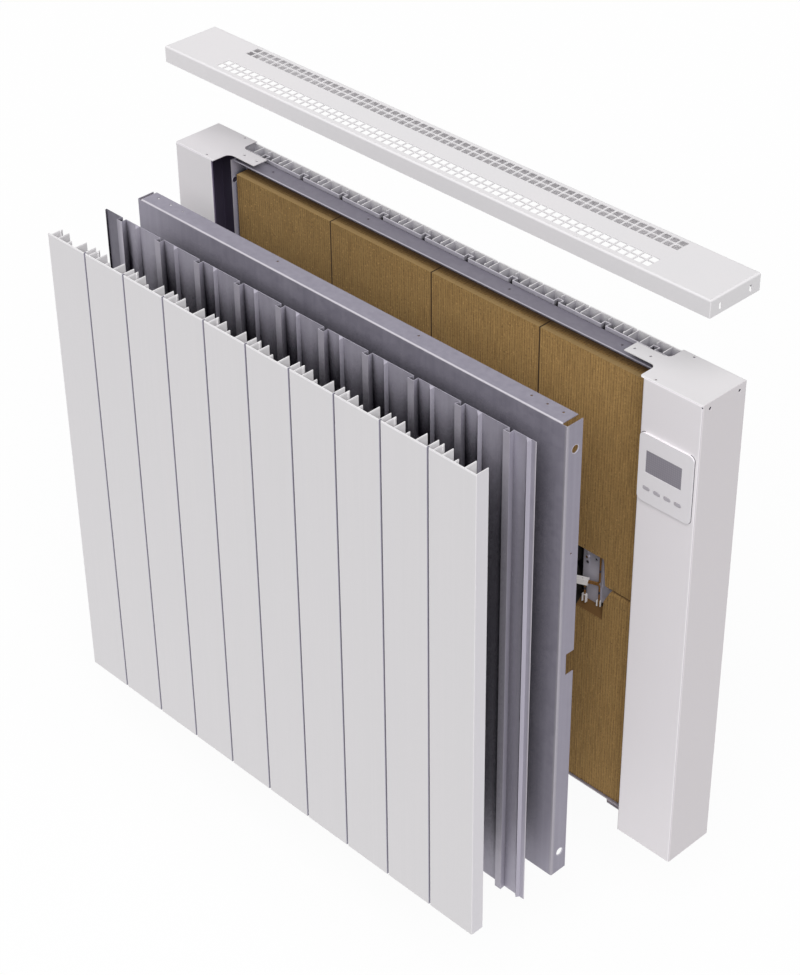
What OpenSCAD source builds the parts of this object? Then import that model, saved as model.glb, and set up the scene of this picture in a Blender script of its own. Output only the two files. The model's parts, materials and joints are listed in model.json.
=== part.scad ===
// Slim storage heater, drawn opened out: the three front layers stand forward of the
// brick core and the perforated cover is lifted clear of the two end columns.
//
// Every piece is first drawn at its fitted place, with x = 0 in the middle of the width,
// y = 0 in the middle of the columns' depth (front is -y) and z = 0 at the bottom.
// Then all of it moves so that the origin is the centre of the four wall fixings.

/* [Columns] */
// Width of the left end column
left_column_w = 77; // [70:1:90]
// Width of the right end column, which holds the controls
right_column_w = 93; // [92:1:110]
// Depth of both columns, front to back
column_d = 82.5; // [82.5:0.5:90]
// Height of both columns
column_h = 740; // [738:1:744]
// Sheet thickness of the painted casing
case_t = 1.2; // [1:0.1:1.5]
// Radius of the casing's folds
case_fold = 2.5; // [2:0.5:3]

/* [Front and rear sections] */
// Distance from one extruded section to the next
section_pitch = 79.5; // [78:0.5:81]
// Number of extruded sections across the front, and across the rear
section_count = 10; // [10:1:10]
// Open gap between neighbouring sections
section_gap = 2.2; // [1.5:0.1:3]
// Depth of a section from its face to its deepest fin
section_d = 20.3; // [20:0.1:20.5]
// Height of the front sections
front_section_h = 737; // [720:1:737]
// Height of the rear sections
rear_section_h = 735; // [720:1:736]

/* [Cover] */
// Height of the cover's skirt, top face included
cover_h = 24; // [22:1:26]
// How far the cover stands out past the columns at each end
cover_side = 2.8; // [2:0.1:4]
// Depth of the cover, front to back
cover_d = 91; // [88:0.5:94]
// Number of air holes in each row
air_hole_count = 60; // [40:2:60]
// Distance from one air hole to the next along a row
air_hole_pitch = 12.85; // [12:0.05:13]

/* [Trays and ribbed sheets] */
// Depth of the front tray's flanges
tray_d = 27.7; // [26:0.1:27.7]
// Top edge of the front tray
front_tray_top = 732; // [731.5:0.5:734]
// Top edge of the rear tray and the rear ribbed sheet
rear_tray_top = 730; // [728:0.5:730]
// Top edge of the front ribbed sheet
front_sheet_top = 735; // [730:1:736]
// Sheet thickness of the galvanised trays
tray_t = 1; // [0.8:0.1:1]
// Sheet thickness of the galvanised ribbed sheets
rib_t = 0.8; // [0.6:0.1:0.8]

/* [Core] */
// Width that one brick takes in its row
brick_pitch = 194.6; // [190:0.1:195]
// Top of the upper row of bricks
brick_top = 717.4; // [700:0.1:720]
// Height of the joint between the two rows
brick_joint_z = 361; // [350:1:370]
// Radius of the rounded top front edge of every brick
brick_round = 11.4; // [8:0.1:14]
// Diameter of the heating rods
rod_dia = 7.5; // [6:0.5:8]

/* [Controls] */
// Width of the control plate
bezel_w = 85; // [80:1:85]
// Height of the control plate
bezel_h = 100; // [90:1:110]
// How far the control plate stands out of the column's face
bezel_proud = 2.75; // [2:0.25:3]
// Travel of a push button
button_travel = 1; // [0.5:0.1:1.2]

/* [Wall fixing] */
// Gap between the columns' backs and the wall
wall_gap = 20; // [18:1:30]
// Width between the two columns of wall fixings
fixing_w = 880; // [876:1:882]
// Height of the lower wall fixings above the heater's bottom
fixing_low = 100; // [90:1:120]
// Height of the upper wall fixings above the heater's bottom
fixing_high = 650; // [620:1:660]
// Radius of a wall-fixing hole
fixing_r = 3.25; // [2.5:0.25:4]

/* [Opened-out view] */
// How far the front tray stands forward of its fitted place
tray_out = 155; // [155:1:200]
// How far the front ribbed sheet stands forward of its fitted place
sheet_out = 207.5; // [207.5:0.5:240]
// How far the front sections stand forward of their fitted place
panel_out = 286; // [286:1:320]
// How far the cover is lifted
cover_lift = 146; // [100:1:200]

/* [Hidden] */
$fn = 48;
over = 1;                  // how far a cut runs past the face it opens
play = 0.3;                // gap kept between pieces that slide past each other

overall_w = left_column_w + section_count * section_pitch - section_gap + 1.2 + right_column_w;
opening_w = overall_w - left_column_w - right_column_w;
opening_l = -overall_w / 2 + left_column_w;
opening_r = opening_l + opening_w;
opening_x = (opening_l + opening_r) / 2;
plate_w = section_pitch - section_gap;
panel_w = section_count * section_pitch - section_gap;
panel_l = opening_x - panel_w / 2;

// Fitted places from front to back
face_y = -column_d / 2 + 0.15;
front_sheet_y = face_y + section_d + play + rib_t;       // back of the front ribbed sheet
front_tray_y = front_sheet_y + play;                     // front of the front tray
rear_sheet_y = -face_y - section_d - rib_t;              // front of the rear ribbed sheet
rear_tray_y = rear_sheet_y;                              // back of the rear tray
rear_tray_half = panel_w / 2 - tray_t - 0.4;
wall_y = column_d / 2 + wall_gap;
fixing_z = (fixing_low + fixing_high) / 2;

// Ribbed sheet, measured from a section's left edge: square deep rib, then sharp shallow rib
rib_depth = 8.2;
rib_path = [[33.6, 0], [32.2, -rib_depth], [42.8, -rib_depth], [42.2, 0]];
small_rib_depth = 4.6;
small_rib = [[62, 0], [67.2, -small_rib_depth], [70, 0]];
small_rib_slant = 3.3;     // how far below the sheet's top edge its crest starts
front_sheet_low = -4;

// Section fins, measured from the section's left edge: place and depth
fin_t = 1.2;
plate_t = 1.5;
fins = [[6.3, 19.3], [20.9, 19.5], [40.1, 8.6], [57, section_d], [plate_w - fin_t, section_d]];

// Tongues of the column tops and bases, measured from the opening's side
tongue_front = -11.6;
tongue_back = 13;
tongue_reach = 56.4;
tongue_root = 9;
tongue_holes = [-23.7, -49.4];
tongue_hole_y = 0.3;
top_overhang = 4.7;        // how far the columns' tops reach over the opening
lip_d = case_fold + 0.1;

// Core
brick_front = -3.4;
brick_rib = 0.6;           // height kept free for the fine ribs on the bricks' faces
brick_back = rear_tray_y - tray_t;
brick_bottom = 1.2 + tray_t;
brick_gap = 0.5;
core_l = opening_x - 2 * brick_pitch;
window_x = core_l + 3.5 * brick_pitch;
window_high = brick_joint_z + 42;
window_low = brick_joint_z - 48;
rod_y = brick_back - 5;
groove_w = rod_dia + 2;
rod_bend = 14;
rod_left = opening_x - 362;
rod_inner = [window_x - 9, 520];
rod_outer = [window_x + 15, 620];

// Controls
bezel_l = opening_r + 2.5;
bezel_z = 564.5;
bezel_x = bezel_l + bezel_w / 2;
bezel_y = -column_d / 2 - bezel_proud;
lcd_w = 56.2;
lcd_h = 32;
lcd_x = bezel_x - 2.9;
lcd_z = 625;
button_w = 10.6;
button_h = 5;
button_z = 585.5;
button_pitch = 16.75;
button_first = bezel_x - 28;

// Heights of the screws that hold the inner brackets
tray_screw_z = [100, 360, 640];
bracket_screw_z = [90, 370, 660];
bracket_screw_x = 18;
bracket_screw_y = 13;

// Wall brackets and the hooks that hang the columns on them
hook_z = [150, 620];
hook_w = 20;
hook_t = 2;
bracket_t = 1.5;           // thickness of the inner brackets' steel
wall_plate_t = 2;          // thickness of the wall brackets' steel

function two_digits(n) = n < 10 ? str("0", n) : str(n);

// ---------------------------------------------------------------- shared shapes

// From the fitted place to the part's own frame, a piece standing forward or lifted first
module at_frame(forward = 0, lift = 0)
    translate([0, -wall_y - forward, lift - fixing_z]) children();

module rounded_rect(x0, y0, x1, y1, r) {
    translate([x0 + r, y0]) square([x1 - x0 - 2 * r, y1 - y0]);
    translate([x0, y0 + r]) square([x1 - x0, y1 - y0 - 2 * r]);
    for (x = [x0 + r, x1 - r])
        for (y = [y0 + r, y1 - r])
            translate([x, y]) circle(r);
}

module obround(w, h) {
    square([w - h, h], center = true);
    for (side = [-1, 1])
        translate([side * (w - h) / 2, 0]) circle(h / 2);
}

// A block between two corners
module block(low, high) translate(low) cube(high - low);

// A flat outline in x and z, made solid from y0 back to y1
module front_plate(y0, y1) translate([0, y1, 0]) rotate([90, 0, 0]) linear_extrude(y1 - y0) children();

// A flat outline in y and z, made solid from x0 to x1
module side_plate(x0, x1)
    translate([x0, 0, 0]) rotate([90, 0, 90]) linear_extrude(x1 - x0) children();

// A hole or pin along y
module along_y(x, z, y0, y1, r) translate([x, y1, z]) rotate([90, 0, 0]) cylinder(r = r, h = y1 - y0);

// A hole or pin along x
module along_x(y, z, x0, x1, r) translate([x0, y, z]) rotate([0, 90, 0]) cylinder(r = r, h = x1 - x0);

// Folded strip: a path in x and y given a thickness t to its left
function unit(v) = v / norm(v);
function left_of(v) = [-v[1], v[0]];
function joint_shift(path, i, t) =
    let (before = i > 0 ? unit(path[i] - path[i - 1]) : unit(path[1] - path[0]),
         after = i < len(path) - 1 ? unit(path[i + 1] - path[i]) : before,
         middle = unit(left_of(before) + left_of(after)))
    middle * t / (middle * left_of(before));
module folded_strip(path, t)
    polygon(concat(path, [for (i = [len(path) - 1:-1:0]) path[i] + joint_shift(path, i, t)]));

// ---------------------------------------------------------------- casing

// Outside of a column, or its inside when shrunk by the sheet thickness
module column_block(width, shrink) {
    r = case_fold - shrink;
    half_d = column_d / 2 - shrink;
    low = shrink > 0 ? -over : 0;
    intersection() {
        translate([0, 0, low])
            linear_extrude(column_h - shrink - low)
                rounded_rect(shrink, -half_d, width - shrink, half_d, r);
        side_plate(0, width)
            rounded_rect(-half_d, -20, half_d, column_h - shrink, r);
    }
}

// Tongue that reaches over the core, with rounded inner corners where it leaves the column
module tongue_outline() {
    root_x = -top_overhang - tongue_root;
    translate([-tongue_reach, tongue_front]) square([tongue_reach + over, tongue_back - tongue_front]);
    difference() {
        translate([root_x, tongue_front - tongue_root])
            square([over - root_x, tongue_back - tongue_front + 2 * tongue_root]);
        for (y = [tongue_front - tongue_root, tongue_back + tongue_root])
            translate([root_x, y]) circle(tongue_root);
    }
}

// Edge of a column's top over the opening, with the start of its front and back folds
module top_edge() {
    half_d = column_d / 2;
    end = case_fold + 0.5;
    difference() {
        side_plate(-top_overhang, end) rounded_rect(-half_d, 0, half_d, column_h, case_fold);
        side_plate(-top_overhang - over, end + over)
            rounded_rect(case_t - half_d, -over, half_d - case_t, column_h - case_t, case_fold - case_t);
        block([-top_overhang - over, -column_d, -over], [end + over, column_d, column_h - 1.7]);
        // rounded front corner
        difference() {
            block([-top_overhang - over, -column_d, 0], [3 - top_overhang, 3 - half_d, column_h + over]);
            translate([3 - top_overhang, 3 - half_d, -over]) cylinder(r = 3, h = column_h + 3 * over);
        }
    }
}

// A column with its open side at x = 0 and its outer side at x = width
module column_shell(width, hook_x) {
    top_z = column_h - case_t;
    difference() {
        column_block(width, 0);
        column_block(width, case_t);
        block([-over, -column_d / 2 + lip_d, -over], [case_t + over, column_d / 2 - lip_d, top_z]);
        // screw holes in the top, and in the side for the cover
        for (y = [-35.5, 35.5])
            translate([15.3, y, top_z - over]) cylinder(r = 1.6, h = 4);
        for (y = [-27.5, 27.5])
            along_x(y, 731, width - 2 * case_t, width + over, 2.2);
        // relief where the folds meet at the front corner
        along_y(width - 1.6, column_h - 3, -column_d / 2 - over, -column_d / 2 + 2 * case_t, 1.1);
        // slots for the wall hooks
        for (z = hook_z)
            block([hook_x - hook_w / 2 - 1, column_d / 2 - 2 * case_t, z - 7],
                  [hook_x + hook_w / 2 + 1, column_d / 2 + over, z + hook_t]);
    }
    top_edge();
    translate([0, 0, top_z])
        difference() {
            linear_extrude(case_t) tongue_outline();
            for (x = tongue_holes)
                translate([x, tongue_hole_y, -over]) cylinder(r = 2, h = 4);
        }
}

module on_right() translate([opening_r, 0, 0]) children();
module on_left() translate([opening_l, 0, 0]) mirror([1, 0, 0]) children();

module left_column() color("whitesmoke") at_frame() on_left()
    column_shell(left_column_w, opening_l + fixing_w / 2);

module right_column() color("whitesmoke") at_frame()
    difference() {
        on_right() column_shell(right_column_w, fixing_w / 2 - opening_r);
        // opening behind the control plate
        block([bezel_x - 37, -column_d, bezel_z + 8], [bezel_x + 37, 0, bezel_z + bezel_h - 8]);
    }

// Bottom closing plate, turned up at the front, back and outer side
module base_pan(width) {
    inside = case_t;
    half = column_d / 2 - case_t;
    turn_up = 14;
    difference() {
        union() {
            block([2, -half, 0], [width - inside, half, case_t]);
            block([2, -half, 0], [width - inside, -half + case_t, turn_up]);
            block([2, half - case_t, 0], [width - inside, half, turn_up]);
            block([width - inside - case_t, -half, 0], [width - inside, half, turn_up]);
            linear_extrude(case_t) base_tongue_outline();
        }
        // air slots
        for (i = [0:3])
            translate([20 + 12 * i, -24, -over]) linear_extrude(4) rotate(90) obround(22, 5);
        // corner reliefs, as the folds need
        for (y = [-half, half])
            translate([width - inside, y, -over]) cylinder(r = 3, h = turn_up + 2 * over);
    }
}

// Tongue under the rear tray, its end cut at a slant
module base_tongue_outline()
    polygon([[3, tongue_front], [-tongue_reach + 12, tongue_front], [-tongue_reach, tongue_front + 12],
             [-tongue_reach, tongue_back], [3, tongue_back]]);

module left_base() color("lightgray") at_frame() on_left() base_pan(left_column_w);

gland_x = 60;
gland_y = 18;
module right_base() color("lightgray") at_frame() on_right()
    difference() {
        base_pan(right_column_w);
        translate([gland_x, gland_y, -over]) cylinder(r = 8, h = 4);
    }

// Angled strip inside a column that carries the rear tray on the column's back
module tray_bracket_strip() {
    back = column_d / 2 - case_t;
    difference() {
        translate([0, 0, 60])
            linear_extrude(620)
                folded_strip([[-2 + bracket_t, 9.5], [-2 + bracket_t, 18 - bracket_t], [12, 18 - bracket_t],
                              [12, back - bracket_t], [24, back - bracket_t]], bracket_t);
        for (z = tray_screw_z)
            along_x(bracket_screw_y, z, -4, 2, 2.2);
        for (z = bracket_screw_z)
            along_y(bracket_screw_x, z, back - 4, back + over, 2.2);
    }
}
module left_tray_bracket() color("silver") at_frame() on_left() tray_bracket_strip();
module right_tray_bracket() color("silver") at_frame() on_right() tray_bracket_strip();

// Perforated cover: two bands, each of two rows of air holes
band_y = [-25, 27.5];
row_pitch = 12.2;
air_hole = [10.9, 10.4];
module air_hole_outline() intersection() {
    square(air_hole, center = true);
    circle(7.2);
}
module cover_block(shrink, corner) {
    r = case_fold - shrink;
    half_w = overall_w / 2 + cover_side - shrink;
    half_d = cover_d / 2 - shrink;
    top_z = column_h + play + case_t - shrink;
    low_z = column_h + play + case_t - cover_h - (shrink > 0 ? over : 0);
    intersection() {
        translate([0, 0, low_z])
            linear_extrude(top_z - low_z)
                rounded_rect(-half_w, -half_d, half_w, half_d, corner);
        side_plate(-half_w, half_w) rounded_rect(-half_d, low_z - 10, half_d, top_z, r);
        front_plate(-half_d, half_d) rounded_rect(-half_w, low_z - 10, half_w, top_z, r);
    }
}
module top_cover() color("white") at_frame(lift = cover_lift)
    difference() {
        cover_block(0, 0.8);
        cover_block(case_t, 0.4);
        translate([0, 0, column_h])
            linear_extrude(4)
                for (band = band_y)
                    for (row = [-0.5, 0.5])
                        for (i = [0:air_hole_count - 1])
                            translate([-2 + (i - (air_hole_count - 1) / 2) * air_hole_pitch,
                                       band + row * row_pitch])
                                air_hole_outline();
        // upright slots that drop over the side screws
        side_plate(-overall_w, overall_w)
            for (y = [-27.5, 27.5])
                translate([y, column_h + play + case_t - 14]) rotate(90) obround(9.5, 4.4);
    }

// ---------------------------------------------------------------- extruded sections

// Cross-section of the extrusion: face at y = 0, fins going back
module section_outline() {
    intersection() {
        rounded_rect(0, 0, plate_w, section_d, 1);
        square([plate_w, plate_t]);
    }
    for (fin = fins)
        translate([fin[0], plate_t / 2]) square([fin_t, fin[1] - plate_t / 2]);
    // bead near the tip of the first fin, which grips the ribbed sheet
    translate([fins[0][0] + fin_t, 16.5]) circle(1.1);
}

module front_section(i) color("gainsboro") at_frame(forward = panel_out)
    translate([panel_l + (i - 1) * section_pitch, face_y, 1])
        linear_extrude(front_section_h) section_outline();

module rear_section(i) color("gainsboro") at_frame()
    translate([2 * opening_x - panel_l - (i - 1) * section_pitch, -face_y, 1.2])
        rotate(180)
            linear_extrude(rear_section_h) section_outline();

// ---------------------------------------------------------------- ribbed sheets and trays

// Ribbed sheet with its flat back at y = 0 and its ribs going forward
rib_lip = 2;
function repeated_path() = concat(
    [[rib_t, -rib_lip], [rib_t, 0]],
    [for (i = [0:section_count - 1]) for (p = rib_path) p + [i * section_pitch, 0]],
    [[panel_w, 0]]);
// Wedge of one shallow rib from its root plane at y = 0 forward, its top end slanted
module small_rib_wedge(height)
    intersection() {
        translate([0, 0, -over])
            linear_extrude(height + over) polygon(concat(small_rib, [[small_rib[2][0], over],
                                                                     [small_rib[0][0], over]]));
        side_plate(0, section_pitch)
            polygon([[over, -over], [over, height], [0, height],
                     [-small_rib_depth, height - small_rib_slant], [-small_rib_depth, -over]]);
    }
module small_ribs()
    for (i = [0:section_count - 1])
        translate([i * section_pitch, 0, 0]) children();
module ribbed_sheet(height)
    translate([-panel_w / 2, 0, 0])
        difference() {
            union() {
                linear_extrude(height) translate([0, -rib_t]) folded_strip(repeated_path(), rib_t);
                intersection() {
                    small_ribs() translate([0, -rib_t, 0]) small_rib_wedge(height);
                    block([0, -rib_t - small_rib_depth, 0], [panel_w, -rib_t / 2, height]);
                }
            }
            small_ribs() small_rib_wedge(height - rib_t);
        }

module front_rib_sheet() color("slategray") at_frame(forward = sheet_out)
    translate([opening_x, front_sheet_y, front_sheet_low]) ribbed_sheet(front_sheet_top - front_sheet_low);

module rear_rib_sheet() color("slategray") at_frame()
    translate([opening_x, rear_sheet_y, 1.2]) rotate(180) ribbed_sheet(rear_tray_top - 1.2);

// Folded tray with its plate's outer face at y = 0 and its flanges going back
tray_relief = 8;
module tray(half_w, depth, low, top, bottom_flange) {
    r = 2;
    // plate and side flanges
    translate([0, 0, low])
        linear_extrude(top - low - 2)
            intersection() {
                difference() {
                    rounded_rect(-half_w, 0, half_w, depth + 10, r);
                    rounded_rect(-half_w + tray_t, tray_t, half_w - tray_t, depth + 20, r - tray_t);
                }
                translate([-half_w, 0]) square([2 * half_w, depth]);
            }
    // plate's upper edge folded into the top flange, which stops short of the corners
    side_plate(-half_w + tray_relief, half_w - tray_relief)
        intersection() {
            difference() {
                rounded_rect(0, low + 20, depth + 10, top, r);
                rounded_rect(tray_t, low, depth + 20, top - tray_t, r - tray_t);
            }
            translate([0, top - 30]) square([depth, 30]);
        }
    if (bottom_flange)
        block([-half_w + tray_relief, 0, low], [half_w - tray_relief, depth, low + tray_t]);
}

// Screw holes of the trays' top flanges, measured from the middle
tray_holes = [130.6, 321.8];
tongue_screw_holes = [opening_w / 2 + tongue_holes[0], opening_w / 2 + tongue_holes[1]];
// Holes in the front tray's side flanges
flange_hole_r = 5.8;
flange_hole_y = 15.3;

module front_tray() color("slategray") at_frame(forward = tray_out)
    translate([opening_x, front_tray_y, 0])
        difference() {
            half_w = panel_w / 2;
            tray(half_w, tray_d, 2, front_tray_top, false);
            for (x = concat(tray_holes, tongue_screw_holes))
                for (side = [-1, 1])
                    translate([side * x, 18.5, front_tray_top - 3]) cylinder(r = 1.8, h = 5);
            // fixing holes in the side flanges
            for (edge = [-half_w, half_w]) {
                for (z = [37, 692])
                    along_x(flange_hole_y, z, edge - 3, edge + 3, flange_hole_r);
                along_x(flange_hole_y, 537, edge - 3, edge + 3, 1.6);
            }
            // notch in the right flange that clears the element leads
            block([half_w - 3, 13.5, 345], [half_w + 3, tray_d + over, 379]);
        }

module rear_tray() color("slategray") at_frame()
    translate([opening_x, rear_tray_y, 0])
        mirror([0, 1, 0])
            difference() {
                tray(rear_tray_half, tray_d, case_t, rear_tray_top, true);
                for (x = tray_holes)
                    for (side = [-1, 1])
                        translate([side * x, 12.5, rear_tray_top - 3]) cylinder(r = 1.8, h = 5);
                for (edge = [-rear_tray_half, rear_tray_half]) {
                    along_x(22.3, 695, edge - 3, edge + 3, 4.5);
                    for (z = tray_screw_z)
                        along_x(rear_tray_y - bracket_screw_y, z, edge - 3, edge + 3, 1.8);
                }
            }

// ---------------------------------------------------------------- core

// Bricks 1 to 4 are the upper row from left to right, 5 to 8 the lower row
module brick(i) color("sienna") at_frame() {
    upper = i <= 4;
    column = upper ? i - 1 : i - 5;
    x0 = core_l + column * brick_pitch + brick_gap / 2;
    x1 = x0 + brick_pitch - brick_gap;
    z0 = upper ? brick_joint_z : brick_bottom;
    z1 = upper ? brick_top : brick_joint_z - brick_rib;
    depth = brick_back - brick_front;
    difference() {
        side_plate(x0, x1)
            translate([brick_front, 0]) {
                translate([0, z0]) square([depth, z1 - brick_round - z0]);
                translate([brick_round, z0]) square([depth - brick_round, z1 - z0]);
                intersection() {
                    translate([brick_round, z1 - brick_round]) circle(brick_round);
                    translate([0, z0]) square([depth, z1 - z0]);
                }
            }
        rod_grooves();
        if (column == 3)
            element_window();
        // rounded outer edges of the core
        if (column == 0)
            outer_edge_cut(x0, 1);
        if (column == 3)
            outer_edge_cut(x1, -1);
    }
}

module outer_edge_cut(x, side) {
    r = 1.5;
    difference() {
        block([x - r, brick_front - over, -over], [x + r, brick_front + r, column_h]);
        translate([x + side * r, brick_front + r, -2 * over]) cylinder(r = r, h = column_h + 4 * over);
        block([side > 0 ? x + r : x - 2 * r, brick_front - 2 * over, -2 * over],
              [side > 0 ? x + 2 * r : x - r, brick_front + 2 * r, column_h + over]);
    }
}

// Window where the elements are fed: square above the joint, funnel shaped below it,
// with a sill that slopes down to the front
module element_window() {
    front_plate(brick_front - over, brick_back + over)
        translate([window_x, 0])
            polygon([[-27, window_high], [27, window_high], [31, brick_joint_z], [43, brick_joint_z],
                     [30, brick_joint_z - 26], [28, window_low], [-28, window_low],
                     [-30, brick_joint_z - 26], [-43, brick_joint_z], [-31, brick_joint_z]]);
    side_plate(window_x - 28, window_x + 28)
        polygon([[brick_front - over, window_low - 11], [plate_y, window_low], [plate_y, window_low + over],
                 [brick_front - over, window_low + over]]);
}

// Channels in the bricks' backs for the heating rods
module rod_grooves() {
    half = groove_w / 2;
    y = rod_y - half;
    for (flip = [0, 1])
        translate([0, 0, flip * 2 * brick_joint_z]) mirror([0, 0, flip]) {
            block([rod_left - half, y, rod_inner[1] - half], [rod_inner[0] + half, brick_back + over,
                                                              rod_inner[1] + half]);
            block([rod_left - half, y, rod_outer[1] - half], [rod_outer[0] + half, brick_back + over,
                                                              rod_outer[1] + half]);
            block([rod_left - half, y, rod_inner[1] - half], [rod_left + half, brick_back + over,
                                                              rod_outer[1] + half]);
            block([rod_inner[0] - half, y, brick_joint_z], [rod_inner[0] + half, brick_back + over,
                                                            rod_inner[1]]);
            block([rod_outer[0] - half, y, brick_joint_z], [rod_outer[0] + half, brick_back + over,
                                                            rod_outer[1]]);
            // wider pockets for the bends
            for (z = [rod_inner[1], rod_outer[1]])
                block([rod_left - half, y, z - rod_bend],
                      [rod_left + rod_bend, brick_back + over, z + rod_bend]);
            for (p = [rod_inner, rod_outer])
                block([p[0] - rod_bend, y, p[1] - rod_bend],
                      [p[0] + half, brick_back + over, p[1] + half]);
        }
}

// Quarter bend in x and z around a centre, from one angle on
module rod_quarter(x, z, start)
    translate([x, rod_y, z]) rotate([90, 0, 0]) rotate(start)
        rotate_extrude(angle = 90) translate([rod_bend, 0]) circle(rod_dia / 2);

// Hairpin heating rod of the upper row, fed from the window at its right end
module heating_rod() {
    r = rod_dia / 2;
    foot = brick_joint_z + 14;
    for (leg = [rod_inner, rod_outer]) {
        translate([leg[0], rod_y, foot]) cylinder(r = r, h = leg[1] - rod_bend - foot);
        rod_quarter(leg[0] - rod_bend, leg[1] - rod_bend, 0);
        along_x(rod_y, leg[1], rod_left + rod_bend, leg[0] - rod_bend, r);
        // threaded feed stud
        translate([leg[0], rod_y, foot - 10]) cylinder(r = 2, h = 10);
    }
    rod_quarter(rod_left + rod_bend, rod_outer[1] - rod_bend, 90);
    rod_quarter(rod_left + rod_bend, rod_inner[1] + rod_bend, 180);
    translate([rod_left, rod_y, rod_inner[1] + rod_bend])
        cylinder(r = r, h = rod_outer[1] - rod_inner[1] - 2 * rod_bend);
}
module upper_element() color("dimgray") at_frame() heating_rod();
module lower_element() color("dimgray") at_frame()
    translate([0, 0, 2 * brick_joint_z]) mirror([0, 0, 1]) heating_rod();

// Steel plate that holds the rods' ends, with the earth screw near its top left corner
plate_y = 8;
module element_plates() color("darkgray") at_frame() {
    back = plate_y + bracket_t;
    step_z = feed_tip[2] - 6;
    difference() {
        union() {
            block([window_x - 18, plate_y, step_z], [window_x + 16, back, window_high - 0.5]);
            block([window_x - 10.5, plate_y, window_low + 0.4], [window_x + 14, back, step_z]);
        }
        along_y(window_x + 4, 384, plate_y - over, back + over, 2.2);
    }
    // earth screw and its tag
    along_y(window_x - 10, 383, plate_y - 3, plate_y, 3);
    block([window_x - 13, plate_y - 1, 370], [window_x - 7, plate_y, 379]);
}

// Ceramic block that the leads come out of, set at a slant in plan
feed_turn = 24;
feed_tip = [window_x - 0.8, 0, brick_joint_z - 11.8];
module at_feed() translate(feed_tip) rotate(feed_turn) children();
module feed_block() color("ivory") at_frame() at_feed()
    difference() {
        block([-26, -4, -4], [0, 4, 4]);
        along_x(0, 0, -3, over, 3);
        for (x = [-20, -9])
            translate([x, 0, 1]) cylinder(r = 1.8, h = 4);
    }

// Brown sleeved leads: two come out of the ceramic block together, then one turns up
// and one down; a third hangs from the block's underside
lead_r = 1.3;
lead_apart = 1.4;          // half the distance between the two leads where they run together
lead_bend = 3.5;
lead_out = 15.5;
lead_rise = [46, 30];      // length of the upright parts, up and down
side_lead = [window_x - 7, 0.5];
module element_leads() color("saddlebrown") at_frame() {
    at_feed()
        for (turn = [0, 1])
            mirror([0, 0, turn]) {
                along_x(0, lead_apart, -3, lead_out - lead_bend, lead_r);
                translate([lead_out - lead_bend, 0, lead_apart + lead_bend])
                    rotate([90, 0, 0]) rotate(-90)
                        rotate_extrude(angle = 90) translate([lead_bend, 0]) circle(lead_r);
                translate([lead_out, 0, lead_apart + lead_bend]) cylinder(r = lead_r, h = lead_rise[turn]);
            }
    side_foot = window_low - 2.5;
    translate([side_lead[0], side_lead[1], side_foot]) cylinder(r = lead_r, h = feed_tip[2] - 4 - side_foot);
}

// White ceramic clips where the leads enter the lower brick
module lead_clips() color("white") at_frame() {
    translate([side_lead[0], side_lead[1], window_low])
        difference() {
            block([-3.2, -2, 0], [3.2, 2, 13]);
            block([-2.3, -3, -over], [2.3, 3, 11.8]);
            cylinder(r = lead_r + play, h = 14);
        }
    translate([feed_tip[0], feed_tip[1], window_low + 0.2]) rotate(feed_turn)
        for (side = [-1, 1])
            translate([lead_out + side * 2.4, 0, 0])
                block([-0.8, -2, 0], [0.8, 1.4, 9]);
}

// ---------------------------------------------------------------- controls

function button_x(i) = button_first + (i - 1) * button_pitch;

module at_board_screws()
    for (x = [-32, 32])
        for (z = [bezel_z + 14, bezel_z + bezel_h - 14])
            translate([bezel_x + x, 0, z]) children();

module control_bezel() color("whitesmoke") at_frame() {
    difference() {
        front_plate(bezel_y, -column_d / 2)
            rounded_rect(bezel_l, bezel_z, bezel_l + bezel_w, bezel_z + bezel_h, 7);
        front_plate(bezel_y - over, 0)
            rounded_rect(lcd_x - lcd_w / 2 - 0.3, lcd_z - lcd_h / 2 - 0.3,
                         lcd_x + lcd_w / 2 + 0.3, lcd_z + lcd_h / 2 + 0.3, 1);
        for (i = [1:4])
            front_plate(bezel_y - over, 0)
                translate([button_x(i), button_z]) obround(button_w + 0.8, button_h + 0.8);
    }
    // posts that carry the board
    at_board_screws()
        difference() {
            along_y(0, 0, -column_d / 2, board_y, 2.6);
            along_y(0, 0, -column_d / 2, board_y + over, 1.1);
        }
    // clips that spring behind the column's face
    for (side = [-1, 1])
        for (z = [bezel_z + 40, bezel_z + 60])
            translate([bezel_x, 0, z]) mirror([side < 0 ? 1 : 0, 0, 0]) {
                block([35.2, -column_d / 2, 0], [36.6, board_y - 1, 6]);
                block([35.2, case_t - column_d / 2 + 0.2, 0], [38, board_y - 1, 6]);
            }
}

module display() color("slategray") at_frame() {
    block([lcd_x - lcd_w / 2, bezel_y + 0.5, lcd_z - lcd_h / 2],
          [lcd_x + lcd_w / 2, bezel_y + 2.5, lcd_z + lcd_h / 2]);
    block([lcd_x - lcd_w / 2 + 1, bezel_y + 2.5, lcd_z - lcd_h / 2 + 1],
          [lcd_x + lcd_w / 2 - 1, -column_d / 2 + 4, lcd_z + lcd_h / 2 - 1]);
}

// Push button: obround cap with a wider rim behind the control plate and a plunger
module button(i) color("darkgray") at_frame()
    translate([button_x(i), 0, button_z]) {
        front_plate(bezel_y - 0.4, -column_d / 2 + 1.4) obround(button_w, button_h);
        front_plate(-column_d / 2 + 0.4, -column_d / 2 + 1.4) obround(button_w + 3, button_h + 3);
        along_y(0, 0, -column_d / 2 + 1.4, -column_d / 2 + 2.4, 1.5);
    }

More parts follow.
